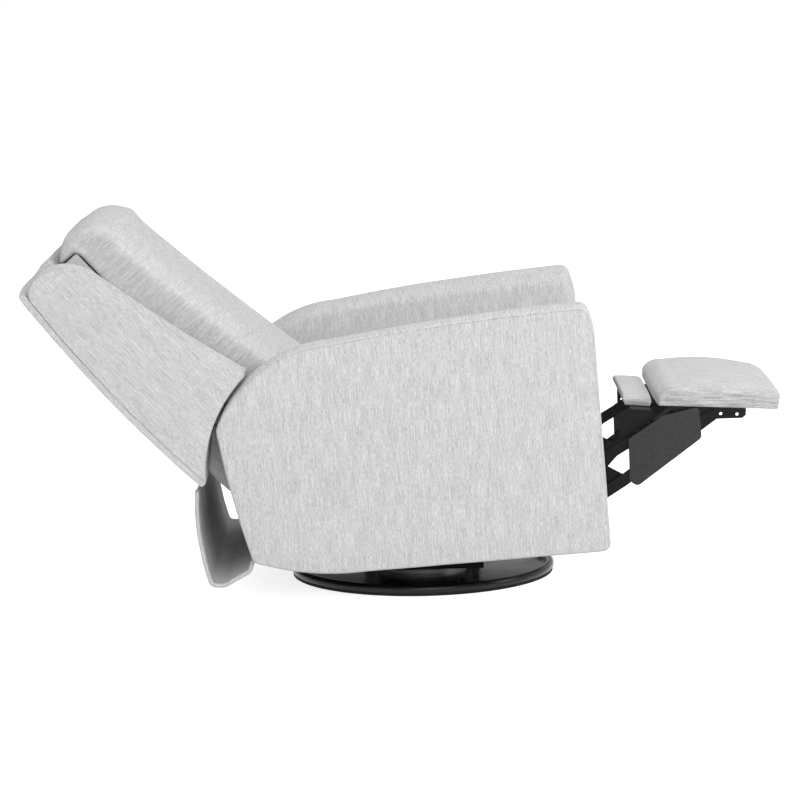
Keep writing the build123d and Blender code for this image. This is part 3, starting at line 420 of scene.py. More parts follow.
def face_out(mesh):
    """Turns every face of a closed mesh outwards."""
    work = bmesh.new()
    work.from_mesh(mesh)
    bmesh.ops.recalc_face_normals(work, faces=work.faces)
    work.to_mesh(mesh)
    work.free()
    mesh.update()


def read(items, attribute, width=3):
    """One attribute of a mesh's points or faces, as an array."""
    values = np.zeros(len(items) * width)
    items.foreach_get(attribute, values)
    return values.reshape(-1, width) if width > 1 else values.astype(int)


def local_points(piece, view):
    """A piece's points in metres, and as (across, rearwards, up) in millimetres from a view's origin."""
    place, axes = view
    points = read(piece.data.vertices, "co")
    return points, (points - place(0.0, np.zeros((1, 2)))[0]) @ axes.T * 1000


def push(piece, amount):
    """Moves each point along its normal by an amount in millimetres."""
    mesh = piece.data
    mesh.update()
    moved = read(mesh.vertices, "co") + read(mesh.vertex_normals, "vector") * (amount / 1000)[:, None]
    mesh.vertices.foreach_set("co", moved.ravel())
    mesh.update()


def paint_seam_shade(piece, strength):
    """Says how much shade the shader paints at each point, in the cloth's tucks where it is drawn together.
    """
    mark = piece.data.attributes.get("seam") or piece.data.attributes.new("seam", "FLOAT", "POINT")
    mark.data.foreach_set("value", strength.astype(np.float32))


def wander(points, size, seed):
    """Slow unevenness from -1 to 1 at each point, with bumps about this size in metres."""
    return np.array([noise.noise(Vector(p) / size + Vector((seed, 0, 0))) for p in points])


# %% [markdown]
# ## Skins
# `upholster` sews a piece: rings of the outline across its width make the boxing, close together where it
# rounds over at the sides, and a fine triangulated panel closes each side. The panel swells off its seam as
# padding does, and the seam itself is pulled in a little. `lay_cloth` then gives every face its place on
# the bolt of cloth.


# %% Side panels
def panel(ring, spacing):
    """Fills a closed outline: (points inside it, triangles, each inside point's distance from the seam)."""
    low, high = ring.min(0), ring.max(0)
    xs, ys = np.arange(low[0], high[0], spacing), np.arange(low[1], high[1], spacing * 0.866)
    grid = np.array([(x + (j % 2) * spacing / 2, y) for j, y in enumerate(ys) for x in xs])
    a, b = ring, np.roll(ring, -1, 0)
    crosses = (a[None, :, 1] > grid[:, None, 1]) != (b[None, :, 1] > grid[:, None, 1])
    rise = b[:, 1] - a[:, 1]
    slope = (b[:, 0] - a[:, 0]) / np.where(np.abs(rise) < 1e-9, 1e-9, rise)
    hit = a[None, :, 0] + (grid[:, None, 1] - a[None, :, 1]) * slope[None]
    inside = (crosses & (grid[:, None, 0] < hit)).sum(1) % 2 == 1
    grid = grid[inside]
    away = np.sqrt(((grid[:, None] - ring[None]) ** 2).sum(-1)).min(1)
    grid, away = grid[away > 0.55 * spacing], away[away > 0.55 * spacing]
    everything = np.concatenate([ring, grid])
    edges = [(k, (k + 1) % len(ring)) for k in range(len(ring))]
    found = geometry.delaunay_2d_cdt([Vector(p) for p in everything], edges, [], 1, 1e-5)

    def nearest(point):
        return int(((everything - np.array(point)) ** 2).sum(1).argmin())

    index = [source[0] if source else nearest(found[0][k]) for k, source in enumerate(found[3])]
    triangles = [tuple(index[i] for i in face) for face in found[2]]
    return grid, [t for t in triangles if len(set(t)) == 3], away


# %% Sewing a piece
# A side rounds over through these angles, with the seam at 43 degrees.
FOLD = np.radians([0, 14, 27, 36, 43, 50, 60, 75, 90])
SEAM_ANGLE, SEAM_WIDTH = 43, 8
PLUMP_REACH = 28.0
UNEVEN_SIZE = 0.09
seam_lines = {}


def sew_rings(x_low, x_high, profile, edge, seam, across):
    """The outline at places across the width: (places, rings, how strongly each is drawn into a seam)."""
    low_side, high_side = x_low + edge[0] * (1 - np.cos(FOLD)), x_high - edge[1] * (1 - np.cos(FOLD))
    middle = np.linspace(x_low + edge[0], x_high - edge[1], across + 2)[1:-1]
    xs = np.concatenate([low_side, middle, high_side[::-1]])
    rings, drawn = [], []
    for x in xs:
        near_low = x - x_low < x_high - x
        d, radius, depth = (x - x_low, edge[0], seam[0]) if near_low else (x_high - x, edge[1], seam[1])
        inset, pull = 0.0, 0.0
        if d < radius:
            turned = math.degrees(math.acos(1 - d / radius))
            pull = math.exp(-(((turned - SEAM_ANGLE) / SEAM_WIDTH) ** 2))
            inset = radius - math.sqrt(max(0.0, radius**2 - (radius - d) ** 2)) + depth * pull
        rings.append(draw_in(profile(2 * (x - x_low) / (x_high - x_low) - 1), inset))
        drawn.append(pull if depth else 0.0)
    return xs, rings, drawn


def upholster(name, view, x_low, x_high, profile, edge=(6, 6), seam=(1.2, 1.2), plump=5.0, across=12,
              spacing=9.0, uneven=0.7, seed=1):
    """A closed, upholstered piece. profile(share) is its outline at a share of its width from -1 to 1. Each
    side rounds over by its own radius, and its seam is its own depth: 0 where the cloth runs round it."""
    place = view[0]
    xs, rings, drawn = sew_rings(x_low, x_high, profile, edge, seam, across)
    count = len(rings[0])
    points = [place(x, ring) for x, ring in zip(xs, rings)]
    # Each sewn seam ring gets painted shade as strong as the seam is pulled in; the side panels get none.
    marks = [np.full(count, pull) for pull in drawn]
    faces, turn_over = [], runs_left(rings[0])
    for a in range(0, (len(rings) - 1) * count, count):
        for i in range(count):
            j = (i + 1) % count
            quad = (a + i, a + count + i, a + count + j, a + j)
            faces.append(quad[::-1] if turn_over else quad)
    total = count * len(rings)
    for ring, x, sign in ((rings[0], xs[0], -1), (rings[-1], xs[-1], 1)):
        inner, triangles, away = panel(ring, spacing)
        first = 0 if sign < 0 else (len(rings) - 1) * count
        faces += [[first + i if i < count else total + i - count for i in t] for t in triangles]
        points.append(place(x + sign * plump * (1 - np.exp(-away / PLUMP_REACH)), inner))
        marks.append(np.zeros(len(inner)))
        total += len(inner)
    piece = new_piece(name, np.concatenate(points), faces)
    face_out(piece.data)
    if uneven:
        push(piece, uneven * wander(read(piece.data.vertices, "co"), UNEVEN_SIZE, seed))
    paint_seam_shade(piece, np.concatenate(marks))
    smooth(piece.data)
    points = read(piece.data.vertices, "co")
    sewn = [k for k, depth in zip((2, len(rings) - 3), seam) if depth]
    seam_lines[name] = [points[k * count : (k + 1) * count] for k in sewn]
    print(name, len(piece.data.polygons), "faces")
    return piece


# %% Laying the cloth
# Each panel is cut from another place on the bolt, this many metres on.
ACROSS_SHIFT, ALONG_SHIFT, STRIP_SHIFT = 0.37, 0.61, 2.1


def lay_cloth(piece, view, warp, over=None):
    """UVs in metres, V along the warp. warp names the view's axis (0 across, 1 rearwards, 2 up) for faces
    that look along each axis in turn. over=(side, axis) is for a strip that runs across the piece and folds
    down its side: there the warp keeps on over the fold, from the faces that look along that axis."""
    mesh, axes = piece.data, view[1]
    layer = mesh.uv_layers.get("cloth") or mesh.uv_layers.new(name="cloth")
    sizes = read(mesh.polygons, "loop_total", 1)
    looks = np.repeat(read(mesh.polygons, "normal") @ axes.T, sizes, axis=0)
    facing = np.abs(looks).argmax(1)
    local = read(mesh.vertices, "co")[read(mesh.loops, "vertex_index", 1)] @ axes.T
    along = np.array(warp)[facing]
    across = 3 - along - facing
    rows = np.arange(len(local))
    u, v = local[rows, across] + ACROSS_SHIFT * facing, local[rows, along] + ALONG_SHIFT * facing
    uv = np.stack([u, v], -1)
    if over:
        side, axis = over
        strip = (facing == axis) | ((facing == 0) & (looks[:, 0] * side > 0))
        down = side * local[:, 0] - np.sign(looks[:, axis]) * local[:, axis]
        uv[strip] = np.stack([local[:, 3 - axis] + STRIP_SHIFT, down], -1)[strip]
    layer.data.foreach_set("uv", uv.ravel().astype(np.float32))


def dress(piece, view, warp, body, replaced, over=None):
    """Lays the cloth and fastens a padded piece to the body that carries it."""
    lay_cloth(piece, view, warp, over)
    piece.data.materials.clear()
    piece.data.materials.append(cloth)
    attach(piece, body)
    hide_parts(replaced)


# %% [markdown]
# ## Arms
# Each arm is a tall padded slab. A seam runs round its outer side panel, and from there one strip of cloth
# goes over the top and down the inner side. Its rear edge is nearly an arc about the recline pivot, so the
# wing can slide round it.

# %% Arms
ARM_OUTER, ARM_INNER = 422.0, 292.0
ARM_PEAK = 0.28


def on_arc(radius, degrees):
    """A point at a distance from the recline pivot, in a direction from straight rearwards."""
    angle = math.radians(degrees)
    return RECLINE[0] + radius * math.cos(angle), RECLINE[1] + radius * math.sin(angle)


def arm_pieces(swell):
    """The arm's side view where its padding stands this far out."""
    front, top, radius = -410.0 - swell / 2, 621.0 + 1.3 * swell, 283.0 + 0.7 * swell
    nose, brow, rear, heel = (front + 10, top - 17), (front + 28, top), (416.0, 424.0), (362.0, 131.0)
    crest, shoulder = on_arc(radius, 86.6), on_arc(radius + 11, 38)
    return [
        ((front, 100), (front, top - 71)),
        ((front, top - 71), (front + 3.5, top - 41), nose),
        (nose, (front + 16, top - 5.5), brow),
        (brow, (-190, top - 5 - 0.2 * swell), crest),
        (crest, on_arc(radius + 6, 62), shoulder),
        (shoulder, on_arc(radius + 14 - 0.5 * swell, 30), rear),
        (rear, (394, 276.5), heel),
        (heel, (356, 128)),
        ((356, 128), (245, 98), (121, 90)),
        ((121, 90), (front + 10, 90)),
        ((front + 10, 90), (front, 100)),
    ]


HIGH_SWELL, LOW_SWELL = 8, -12
high_arm, arm_counts = trace(arm_pieces(HIGH_SWELL))
low_arm, _ = trace(arm_pieces(LOW_SWELL), arm_counts)
high_arm, low_arm = soften(high_arm, 4), soften(low_arm, 4)


def arm_profile(side):
    """The padding is highest about a quarter of the way in from the outer seam."""

    def profile(share):
        inward = (1 - side * share) / 2
        outer_rise = 1 - ((inward - ARM_PEAK) / ARM_PEAK) ** 2
        inner_rise = 1 - 2.5 * (max(0.0, inward - ARM_PEAK) / (1 - ARM_PEAK)) ** 2.4
        rise = outer_rise if inward < ARM_PEAK else inner_rise
        return low_arm + (high_arm - low_arm) * (HIGH_SWELL * rise - LOW_SWELL) / (HIGH_SWELL - LOW_SWELL)

    return profile


for name, side, low, high, edge, seam, seed in (
    ("arm_right", -1, -ARM_OUTER, -ARM_INNER, (6, 14), (1.2, 0), 3),
    ("arm_left", 1, ARM_INNER, ARM_OUTER, (14, 6), (0, 1.2), 5),
):
    arm = upholster(f"{name}_cover", in_body, low, high, arm_profile(side), edge, seam, plump=3, across=26,
                    seed=seed)
    dress(arm, in_body, (2, 2, 0), "chair", name, over=(-side, 2))

# %% [markdown]
# ## Wings
# The sides of the back are wings of the same make: a long side panel, a boxing strip that shows along the
# front edge and over the top, and an arc below that clears the arm. The boxing falls away to the cushion.

# %% Wings
WING_INNER, WING_ARC = 284.0, 305


def wing_pieces(drop, swell):
    """The wing's side view where its front has fallen away, and its top has swollen, by this much."""
    low_rear, low_front = (233.4, 196.3), (12.0, 304.8)
    middle = (WING_ARC * math.cos(math.radians(63)), WING_ARC * math.sin(math.radians(63)))
    front, hollow, crest = (5 + 0.8 * drop, 330), (51 + 0.9 * drop, 502), (88 + drop, 674 - 0.3 * drop)
    brow = (118 + 0.35 * drop - 0.5 * swell, 728 - 0.3 * drop + 0.7 * swell)
    top, corner = (166, 757 + swell), (226.4, 750 + swell)
    return [
        (low_rear, middle, low_front),
        (low_front, front),
        (front, hollow, crest),
        (crest, brow, top),
        (top, (200, 762 + swell), corner),
        (corner, (232.4, 740)),
        ((232.4, 740), (245.4, 480), low_rear),
    ]


high_wing, wing_counts = trace(wing_pieces(-1, 0))
high_wing = soften(high_wing, 2.5)
low_wing, full_wing = (soften(trace(wing_pieces(*by), wing_counts)[0], 2.5) for by in ((24, 0), (-1, 6)))


def wing_profile(side):
    """The padding is highest along the outer seam, and falls away to the cushion."""

    def profile(share):
        fallen = (low_wing - high_wing) * ((1 - side * share) / 2) ** 1.25
        return high_wing + fallen + (full_wing - high_wing) * (1 - abs(share) ** 2.4)

    return profile


for name, side, low, high, edge, seam, seed in (
    ("wing_right", -1, -ARM_OUTER, -WING_INNER, (2.5, 10), (0.7, 0), -413),
    ("wing_left", 1, WING_INNER, ARM_OUTER, (10, 2.5), (0, 0.7), 293),
):
    wing = upholster(f"{name}_cover", in_back, low, high, wing_profile(side), edge, seam, plump=3, across=20,
                     seed=seed)
    dress(wing, in_back, (2, 0, 0), "back", name, over=(-side, 1))

# %% [markdown]
# ## Back panels
# A padded panel closes the whole rear of the back and bows outwards a little. Below it the lower back wraps
# the frame's bottom edge and runs up behind the wings' arc, so that the slot beside the arm shows cloth. A
# border strip closes the top between the wings.

# %% Outside back, lower back and top border
BACK_HALF, CORE_HALF = 420, 283.4


def rear_panel_pieces(bow):
    """The outside back's side view where it bows out this far."""
    top = (247 + bow, 750 + 1.3 * bow)
    ledge = (top[0] - 10, top[1] + 9)
    return [
        ((233.6, 194), (244 + bow, 193)),
        ((244 + bow, 193), (248 + bow, 197)),
        ((248 + bow, 197), (260 + bow, 480), top),
        (top, (top[0] - 3, top[1] + 7), ledge),
        (ledge, (232.6, 750)),
        ((232.6, 750), (245.6, 480), (233.6, 194)),
    ]


rear_profile = swelling(rear_panel_pieces, 0, 9, 2.5, power=5, step=2.5)
outside_back = upholster("outside_back_cover", in_back, -BACK_HALF, BACK_HALF, rear_profile, edge=(2, 2),
                         seam=(0, 0), plump=0, across=64, spacing=4, uneven=0.5, seed=21)
dress(outside_back, in_back, (2, 2, 0), "back", "outside_back")

lower_pieces = [
    ((150, 104), (158, 98)),
    ((158, 98), (212, 98)),
    ((212, 98), (222, 103), (228, 114)),
    ((228, 114), (232.4, 155), (233.4, 187)),
    ((233.4, 187), (233.4, 203)),
    ((233.4, 203), (162, 262)),
    ((162, 262), (150, 262)),
    ((150, 262), (150, 104)),
]
lower_outline = soften(trace(lower_pieces)[0], 3)
lower_back = upholster("lower_back_cover", in_back, -CORE_HALF, CORE_HALF, lambda share: lower_outline,
                       plump=0, across=46, spacing=7, uneven=1.2, seed=25)
dress(lower_back, in_back, (2, 2, 1), "back", "lower_back")

border_pieces = [
    ((162, 741), (162, 776)),
    ((162, 776), (204, 770), (232.4, 748)),
    ((232.4, 748), (230.4, 736)),
    ((230.4, 736), (162, 741)),
]
border_outline = soften(trace(border_pieces, step=2.0)[0], 1.8)
top_border = upholster("top_border_cover", in_back, -CORE_HALF, CORE_HALF, lambda share: border_outline,
                       edge=(4, 4), plump=0, across=46, spacing=5, uneven=0.8, seed=27)
dress(top_border, in_back, (1, 0, 0), "back", "top_border")

# %% [markdown]
# ## Inflated cushions
# The back and seat cushions have loose covers. Blender's cloth blows a slightly small start shape up from
# inside, so the cover tightens by itself, and no point may move further than the filling allows. The result
# is kept as a plain mesh, and gathers and dents are added after it.

# %% Blowing up a cushion
VOXEL = 0.008
FRAMES = 20


def inflate(piece, view, held, pressure, most):
    """Blows a piece up as cloth. held(points) says which of its points in a view stay, and no other point
    moves further than most, in metres. The mesh is made even before, and finer after."""
    remesh = piece.modifiers.new("even", "REMESH")
    remesh.mode, remesh.voxel_size, remesh.use_smooth_shade = "VOXEL", VOXEL, True
    mesh = keep_result(piece)
    start, local = local_points(piece, view)
    group = piece.vertex_groups.new(name="held")
    group.add(np.nonzero(held(local))[0].tolist(), 1.0, "REPLACE")
    puff = piece.modifiers.new("puff", "CLOTH")
    puff.settings.quality, puff.settings.mass = 4, 0.25
    puff.settings.tension_stiffness = puff.settings.compression_stiffness = 12
    puff.settings.bending_stiffness = 0.4
    puff.settings.use_pressure, puff.settings.uniform_pressure_force = True, pressure
    puff.settings.effector_weights.gravity = 0
    puff.collision_settings.use_collision = False
    puff.settings.vertex_group_mass = "held"
    puff.point_cache.frame_start, puff.point_cache.frame_end = 1, FRAMES
    for f in range(1, FRAMES + 1):
        bpy.context.scene.frame_set(f)
    mesh = keep_result(piece)
    bpy.context.scene.frame_set(1)
    move = read(mesh.vertices, "co") - start
    reach = np.linalg.norm(move, axis=1, keepdims=True)
    move *= most * np.tanh(reach / most) / np.maximum(reach, 1e-9)
    mesh.vertices.foreach_set("co", (start + move).ravel())
    print(piece.name, "blown up", len(start), "points, by", round(np.abs(move).max() * 1000, 1), "mm")
    mesh.update()
    finer = piece.modifiers.new("finer", "SUBSURF")
    finer.levels = finer.render_levels = 1
    smooth(keep_result(piece))


# %% [markdown]
# ## Back cushion
# The cushion is deep at the small of the back, and its top rolls over the frame. Its front is smooth, and its
# sides are gathered where they are pulled in beside the wings.

# %% Back cushion
CUSHION_HALF, FRAME_FRONT = 277, 104


def back_cushion_pieces(crown):
    """The back cushion's side view where its front stands this far out."""
    toe, waist, brow = (-45 - 0.5 * crown, 132), (-46 - crown, 196), (27 - crown, 694)
    shoulder, lobe = (92 - 0.5 * crown, 778 + crown), (158, 747 + 0.4 * crown)
    return [
        ((109, 132), toe),
        (toe, (-53 - 0.9 * crown, 150), waist),
        (waist, (-6 - crown, 440), brow),
        (brow, (39 - 0.9 * crown, 757 + 0.8 * crown), shoulder),
        (shoulder, (130, 768 + crown), lobe),
        (lobe, (154, 744)),
        ((154, 744), (109, 744)),
        ((109, 744), (109, 132)),
    ]


cushion_profile = swelling(back_cushion_pieces, -2, 13, 5, power=6, step=4.0)
back_cushion = upholster("back_cushion_cover", in_back, -CUSHION_HALF, CUSHION_HALF, cushion_profile,
                         edge=(14, 14), seam=(0, 0), plump=2, across=34, spacing=12, uneven=0)
inflate(back_cushion, in_back, lambda local: local[:, 1] > FRAME_FRONT, pressure=4.0, most=0.006)
world, local = local_points(back_cushion, in_back)
beside = np.clip((np.abs(local[:, 0]) - 258) / 14, 0, 1) * np.clip((140 - local[:, 1]) / 50, 0, 1)
gathers = np.array([noise.noise(Vector((p[2] / 21 + 40 * np.sign(p[0]), p[1] / 160, 0))) for p in local])
fine_gathers = np.array([noise.noise(Vector((p[2] / 8.5, 7.0, p[1] / 90))) for p in local])
folds = beside * (2.0 * gathers + 1.2 * fine_gathers - 1.5)
push(back_cushion, folds + 0.9 * wander(world, 0.12, 31) - 1.0)
# Painted shade on the gathered sides beside the wings, strongest close to the wing.
paint_seam_shade(back_cushion, beside * (0.24 + 0.1 * gathers))
dress(back_cushion, in_back, (1, 0, 0), "back", "back_cushion")

# %% [markdown]
# ## Seat cushion
# A crowned foam cushion with a rolled front edge, lying on the seat deck between the arms.

# %% Seat cushion
SEAT_HALF, SEAT_LOW, SEAT_SIDE_TOP = 276, 413, 420


def seat_pieces(crown):
    """The seat cushion's side view where its top is crowned this high."""
    return [
        ((-398, SEAT_LOW), (-405, SEAT_SIDE_TOP)),
        ((-405, SEAT_SIDE_TOP), (-405, 464)),
        ((-405, 464), (-399, 480), (-384, 486)),
        ((-384, 486), (-150, 486 + crown), (60, 486)),
        ((60, 486), (72, 474)),
        ((72, 474), (75, 428)),
        ((75, 428), (75, SEAT_LOW)),
        ((75, SEAT_LOW), (-398, SEAT_LOW)),
    ]


seat_profile = swelling(seat_pieces, 2, 15, 6, step=4.0)
seat_cushion = upholster("seat_cushion_cover", in_body, -SEAT_HALF, SEAT_HALF, seat_profile, edge=(20, 20),
                         seam=(0, 0), plump=2, across=32, spacing=14, uneven=0)
inflate(seat_cushion, in_body, lambda local: local[:, 2] < SEAT_SIDE_TOP, pressure=3.0, most=0.005)
world, local = local_points(seat_cushion, in_body)
push(seat_cushion, 0.8 * wander(world, 0.1, 35) * (local[:, 2] > 440))
dress(seat_cushion, in_body, (1, 2, 1), "chair", "seat_cushion")

# %% [markdown]
# ## Footrest pads
# The ottoman pad is foam on a board, with the cloth pulled over its domed top and down a low straight side.
# The small flipper pad fills the gap between it and the seat.

# %% Ottoman pad
OTTOMAN_LENGTH, OTTOMAN_HALF, OTTOMAN_HEIGHT = 272.0, 247, 59
OTTOMAN_SHARES = (0, 0.4, 0.7, 0.87, 0.94, 0.975, 1)
OTTOMAN_HEIGHTS = (1, 0.985, 0.94, 0.88, 0.8, 0.71, 0.61)


def ottoman_pieces(height, drawn):
    """The ottoman pad's side view at a height, with its ends drawn in."""
    front = -OTTOMAN_LENGTH
    rear_side, front_side = (-1 - drawn, 0.45 * height), (front - 5 + 1.5 * drawn, 0.55 * height)
    rear_top, front_top = (-46, 0.87 * height), (front + 34, 0.82 * height)
    return [
        ((-1 - drawn, 0), rear_side),
        (rear_side, (-14 - drawn, 0.72 * height), rear_top),
        (rear_top, (front / 2, height), front_top),
        (front_top, (front + 9 + drawn, 0.72 * height), front_side),
        (front_side, (front + drawn, 0)),
        ((front + drawn, 0), (-1 - drawn, 0)),
    ]


ottoman_counts = trace(ottoman_pieces(OTTOMAN_HEIGHT, 0))[1]


def ottoman_profile(share):
    """The pad is lower and a little shorter towards its sides."""
    height = OTTOMAN_HEIGHT * np.interp(abs(share), OTTOMAN_SHARES, OTTOMAN_HEIGHTS)
    outline = soften(trace(ottoman_pieces(height, 5 * abs(share) ** 10), ottoman_counts)[0], 3)
    outline[:, 1] = np.maximum(outline[:, 1], 0)
    return outline


ottoman = upholster("ottoman_pad_cover", in_ottoman, -OTTOMAN_HALF, OTTOMAN_HALF, ottoman_profile,
                    edge=(5, 5), seam=(0, 0), plump=1.5, across=64, spacing=6, uneven=0.8, seed=41)
local = local_points(ottoman, in_ottoman)[1]
# Painted shade along the lower part of the pad's sides, in its tuck pattern.
beside = np.clip((np.abs(local[:, 0]) - 205) / 36, 0, 1) * np.clip((52 - local[:, 2]) / 22, 0, 1)
paint_seam_shade(ottoman, 0.62 * beside)
dress(ottoman, in_ottoman, (1, 2, 1), "ottoman", "ottoman_pad")

# %% Flipper pad
FLIPPER_HALF = 180


def flipper_pieces(height):
    """The flipper pad's side view at a height."""
    return [
        ((-2, 0), (3, height - 5)),
        ((3, height - 5), (1, height - 1), (-4, height)),
        ((-4, height), (-30.5, height + 1), (-57, height)),
        ((-57, height), (-60, height - 2), (-61, height - 5)),
        ((-61, height - 5), (-57, 0)),
        ((-57, 0), (-2, 0)),
    ]


flipper_counts = trace(flipper_pieces(20), step=2.0)[1]


def flipper_profile(share):
    """The pad is lower towards its sides."""
    height = np.interp(abs(share), (0, 0.6, 0.86, 0.95, 1), (24, 23, 21, 17.5, 13))
    return soften(trace(flipper_pieces(height), flipper_counts)[0], 3)


flipper = upholster("flipper_pad_cover", in_flipper, -FLIPPER_HALF, FLIPPER_HALF, flipper_profile,
                    edge=(4, 4), seam=(0, 0), plump=1, across=52, spacing=4, uneven=0.5, seed=43)
local = local_points(flipper, in_flipper)[1]
# Painted shade along the lower part of the pad's sides, in its tuck pattern.
beside = np.clip((np.abs(local[:, 0]) - 160) / 16, 0, 1) * np.clip((21 - local[:, 2]) / 8, 0, 1)
paint_seam_shade(flipper, 0.5 * beside)
dress(flipper, in_flipper, (1, 2, 1), "control", "flipper_pad")

# %% [markdown]
# ## Sheets
# A sheet is laid as rows of points, one row for each place across it, and gets its thickness after that.


# %% Sheet helpers
def rounded_route(corners, bends, step=4.0):
    """Points about a step apart along an open line whose corners are rounded to these radii."""
    corners = np.array(corners, float)
    runs, here = [], corners[0]
    for before, corner, after, radius in zip(corners, corners[1:], corners[2:], bends):
        back, ahead = ((p - corner) / np.linalg.norm(p - corner) for p in (before, after))
        half = math.acos(back @ ahead) / 2
        start, end = corner + back * radius / math.tan(half), corner + ahead * radius / math.tan(half)
        middle = back + ahead
        middle = corner + middle / np.linalg.norm(middle) * (radius / math.sin(half) - radius)
        count = max(1, round(np.linalg.norm(start - here) / step))
        runs.append(here + (start - here) * (np.arange(count) / count)[:, None])
        runs.append(arc_through(start, middle, end, max(2, round(np.linalg.norm(end - start) / step))))
        here = end
    count = max(1, round(np.linalg.norm(corners[-1] - here) / step))
    runs.append(here + (corners[-1] - here) * (np.arange(count + 1) / count)[:, None])
    return np.concatenate(runs)


def sheet_through(name, rows, *materials):
    """An open sheet through rows of points, with a modifier that will give it its thickness."""
    n = len(rows[0])
    quads = [(k, k + 1, k + n + 1, k + n) for k in range((len(rows) - 1) * n) if (k + 1) % n]
    piece = new_piece(name, np.concatenate(rows), quads)
    for material in materials:
        piece.data.materials.append(material)
    thick = piece.modifiers.new("two layers", "SOLIDIFY")
    thick.thickness, thick.offset = SHEET_THICK, 0.0
    return piece, thick


def finish_sheet(piece, view):
    """Keeps a sheet's thickness, lays its cloth and fastens it to the body."""
    smooth(keep_result(piece))
    face_out(piece.data)
    lay_cloth(piece, view, (2, 2, 1))
    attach(piece, "chair")


# %% [markdown]
# ## The flap
# A loose flap of the same cloth hangs at the body's rear, forms a trough behind the lower back and ends at
# the bottom rail, so that no gap opens behind the sitter when the back reclines. Its inner face is a plainer
# lining, painted paler than the cloth as painted light inside the trough, and a thick hem runs down both
# sides.

# %% Flap
FLAP_HALF = 392.0
FLAP_CORNERS = ((488, 262), (491, 187), (475, 100), (462, 54), (434, 53), (378, 83), (370.6, 106))
FLAP_BENDS = (400, 150, 14, 16, 9)
SHEET_THICK, HEM_THICK = 0.003, 0.0085
HEM_WIDTH, HEM_START, HEM_RISE = 30, 34, 20
in_frame = side_view(0)

route = rounded_route(FLAP_CORNERS, FLAP_BENDS)
places = np.linspace(-FLAP_HALF, FLAP_HALF, 141)
sway = np.array([[noise.noise(Vector((x / 190, k / 40, 3.0))) for k in range(len(route))] for x in places])
sway *= 1.6 * np.sin(np.linspace(0, math.pi, len(route)))[None] ** 1.5
normal = inwards(np.concatenate([route, route[::-1] + (40, 0)]))[: len(route)]
rows = [in_frame[0](x, route + normal * s[:, None]) for x, s in zip(places, sway)]
flap, thick = sheet_through("flap_cover", rows, painted_light_lining, cloth)
hem_group = flap.vertex_groups.new(name="hem")
for row, x in enumerate(places):
    in_hem = float(np.clip((abs(x) - FLAP_HALF + HEM_START) / HEM_RISE, 0, 1))
    hem_group.add(list(range(row * len(route), (row + 1) * len(route))), in_hem, "REPLACE")
thick.thickness, thick.material_offset, thick.material_offset_rim = HEM_THICK, 1, 1
thick.vertex_group, thick.thickness_vertex_group = "hem", SHEET_THICK / HEM_THICK
finish_sheet(flap, in_frame)
hem = np.abs(local_points(flap, in_frame)[1][:, 0]) > FLAP_HALF - HEM_WIDTH
for polygon in flap.data.polygons:
    if all(hem[v] for v in polygon.vertices):
        polygon.material_index = 1
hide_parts("flap")

# %% [markdown]
# ## Seat apron
# A strip of the same cloth runs from the seat's rear rail back under the back cushion, so that the sitter's
# side shows no hole down to the base when the back reclines. It curves about the recline pivot, inside all
# that the back sweeps, and stays with the seat.

# %% Seat apron
APRON_RADIUS, APRON_HALF = 110.0, 246.0
APRON_FROM, APRON_TO = 122.4, 28.0

apron_arc = np.array([on_arc(APRON_RADIUS, angle) for angle in np.linspace(APRON_FROM, APRON_TO, 46)])
rows = [in_body[0](x, apron_arc) for x in np.linspace(-APRON_HALF, APRON_HALF, 99)]
apron, _ = sheet_through("seat_apron", rows, cloth)
finish_sheet(apron, in_body)

# %% [markdown]
# ## Stitches
# Fine stitches run beside the seams of the arms and wings. One small Geometry Nodes tree lays a stitch every
# few millimetres along any seam line, turned along it, and the result is kept as a plain mesh.

# %% Stitch tree
STITCH = {"Pitch": 0.0052, "Length": 0.0034, "Radius": 0.0006}
STITCH_SIDES = 6


def stitch_tree():
    """The node tree that lays stitches along the edges of a mesh."""
    tree = bpy.data.node_groups.new("stitches", "GeometryNodeTree")
    tree.interface.new_socket("Seam", in_out="INPUT", socket_type="NodeSocketGeometry")
    for size in STITCH:
        tree.interface.new_socket(size, in_out="INPUT", socket_type="NodeSocketFloat")
    tree.interface.new_socket("Stitches", in_out="OUTPUT", socket_type="NodeSocketGeometry")
    seam = tree.nodes.new("NodeGroupInput").outputs
    line = add(tree, "GeometryNodeMeshToCurve", {"Mesh": seam["Seam"]}).outputs["Curve"]
    along = {"Curve": line, "Length": seam["Pitch"]}
    spots = add(tree, "GeometryNodeCurveToPoints", along, mode="LENGTH").outputs
    bar = {"Vertices": STITCH_SIDES, "Radius": seam["Radius"], "Depth": seam["Length"]}
    bead = add(tree, "GeometryNodeMeshCylinder", bar).outputs["Mesh"]
    laying = {"Points": spots["Points"], "Instance": bead, "Rotation": spots["Rotation"]}
    laid = add(tree, "GeometryNodeInstanceOnPoints", laying).outputs["Instances"]
    real = add(tree, "GeometryNodeRealizeInstances", {"Geometry": laid}).outputs["Geometry"]
    done = add(tree, "GeometryNodeSetMaterial", {"Geometry": real, "Material": thread})
    tree.links.new(done.outputs["Geometry"], tree.nodes.new("NodeGroupOutput").inputs["Stitches"])
    return tree


stitches = stitch_tree()
inputs = {item.name: item.identifier for item in stitches.interface.items_tree if item.in_out == "INPUT"}


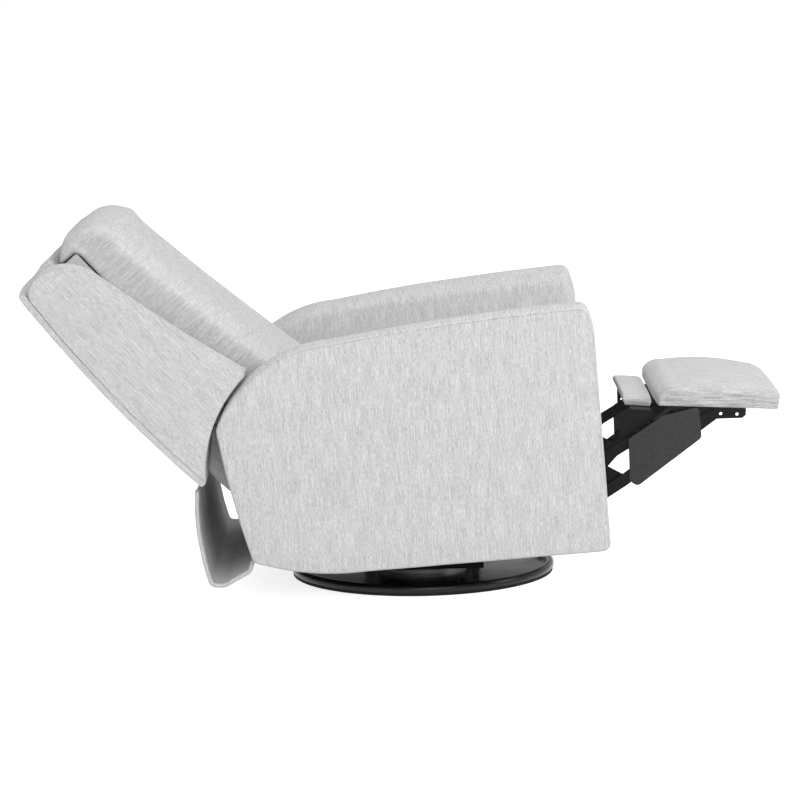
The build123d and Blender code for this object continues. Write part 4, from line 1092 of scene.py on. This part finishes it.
def stitch(name, lines, body):
    """Stitches along closed lines of points, as one mesh that rides on a body."""
    edges, start = [], 0
    for line in lines:
        edges += [(start + i, start + (i + 1) % len(line)) for i in range(len(line))]
        start += len(line)
    piece = new_piece(name, np.concatenate(lines), [], edges)
    sew = piece.modifiers.new("sew", "NODES")
    sew.node_group = stitches
    for size, value in STITCH.items():
        sew[inputs[size]] = value
    piece.update_tag()
    mesh = keep_result(piece)
    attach(piece, body)
    print(name, len(mesh.polygons) // (STITCH_SIDES + 2), "stitches")


for part, body in (("arm", "chair"), ("wing", "back")):
    for side in ("right", "left"):
        stitch(f"{part}_{side}_stitches", seam_lines[f"{part}_{side}_cover"], body)

# %% [markdown]
# ## Floor and light
# The floor is plain and pale: it glows like white paper and still takes the chair's shadow. Soft boxes stand
# near the camera, in front of the chair and overhead, and a pale room fills the rest.

# %% Floor
FLOOR_HALF, FLOOR_GLOW = 30, 0.8
corners = [(x * FLOOR_HALF, y * FLOOR_HALF, 0) for x, y in ((-1, -1), (1, -1), (1, 1), (-1, 1))]
floor = new_piece("floor", corners, [(0, 1, 2, 3)])
paper, tree, shader = finish_tree("floor_paper", Roughness=0.9)
shader.inputs["Specular IOR Level"].default_value = 0.0
shader.inputs["Base Color"].default_value = (0.85, 0.85, 0.85, 1)
rays = add(tree, "ShaderNodeLightPath").outputs
seen = combine(tree, "MAXIMUM", rays["Is Camera Ray"], rays["Is Glossy Ray"])
seen = combine(tree, "MAXIMUM", seen, rays["Is Transmission Ray"])
strength = combine(tree, "MULTIPLY", seen, FLOOR_GLOW)
glow = add(tree, "ShaderNodeEmission", {"Color": (1, 1, 1, 1), "Strength": strength})
both = add(tree, "ShaderNodeAddShader", {0: shader.outputs[0], 1: glow.outputs[0]})
tree.links.new(both.outputs[0], tree.nodes["Material Output"].inputs["Surface"])
floor.data.materials.append(paper)

# %% Light
ROOM_LIGHT, ROOM_SEEN = 0.7, 1.0
AIM = Vector((0, 0, 0.4))
world = bpy.data.worlds.new("studio")
world.use_nodes = True
bpy.context.scene.world = world
room = world.node_tree
rays = add(room, "ShaderNodeLightPath").outputs
seen = combine(room, "MAXIMUM", rays["Is Camera Ray"], rays["Is Transmission Ray"])
strength = add(room, "ShaderNodeMapRange", {"Value": seen, "To Min": ROOM_LIGHT, "To Max": ROOM_SEEN})
background = room.nodes["Background"]
background.inputs["Color"].default_value = (1, 1, 1, 1)
room.links.new(strength.outputs["Result"], background.inputs["Strength"])


def soft_box(name, place, size, power):
    """A square lamp that looks at the seat."""
    light = bpy.data.objects.new(name, bpy.data.lights.new(name, "AREA"))
    light.data.shape, light.data.size, light.data.energy = "SQUARE", size, power
    light.location = place
    light.rotation_euler = (AIM - Vector(place)).to_track_quat("-Z", "Y").to_euler()
    bpy.context.scene.collection.objects.link(light)


soft_box("key", (-4.2, -0.6, 2.4), 2.6, 74)
soft_box("front", (-1.0, -4.2, 2.6), 2.2, 50)
soft_box("overhead", (-0.4, -0.6, 4.2), 3.0, 26)
print("lamps", len(bpy.data.lights))
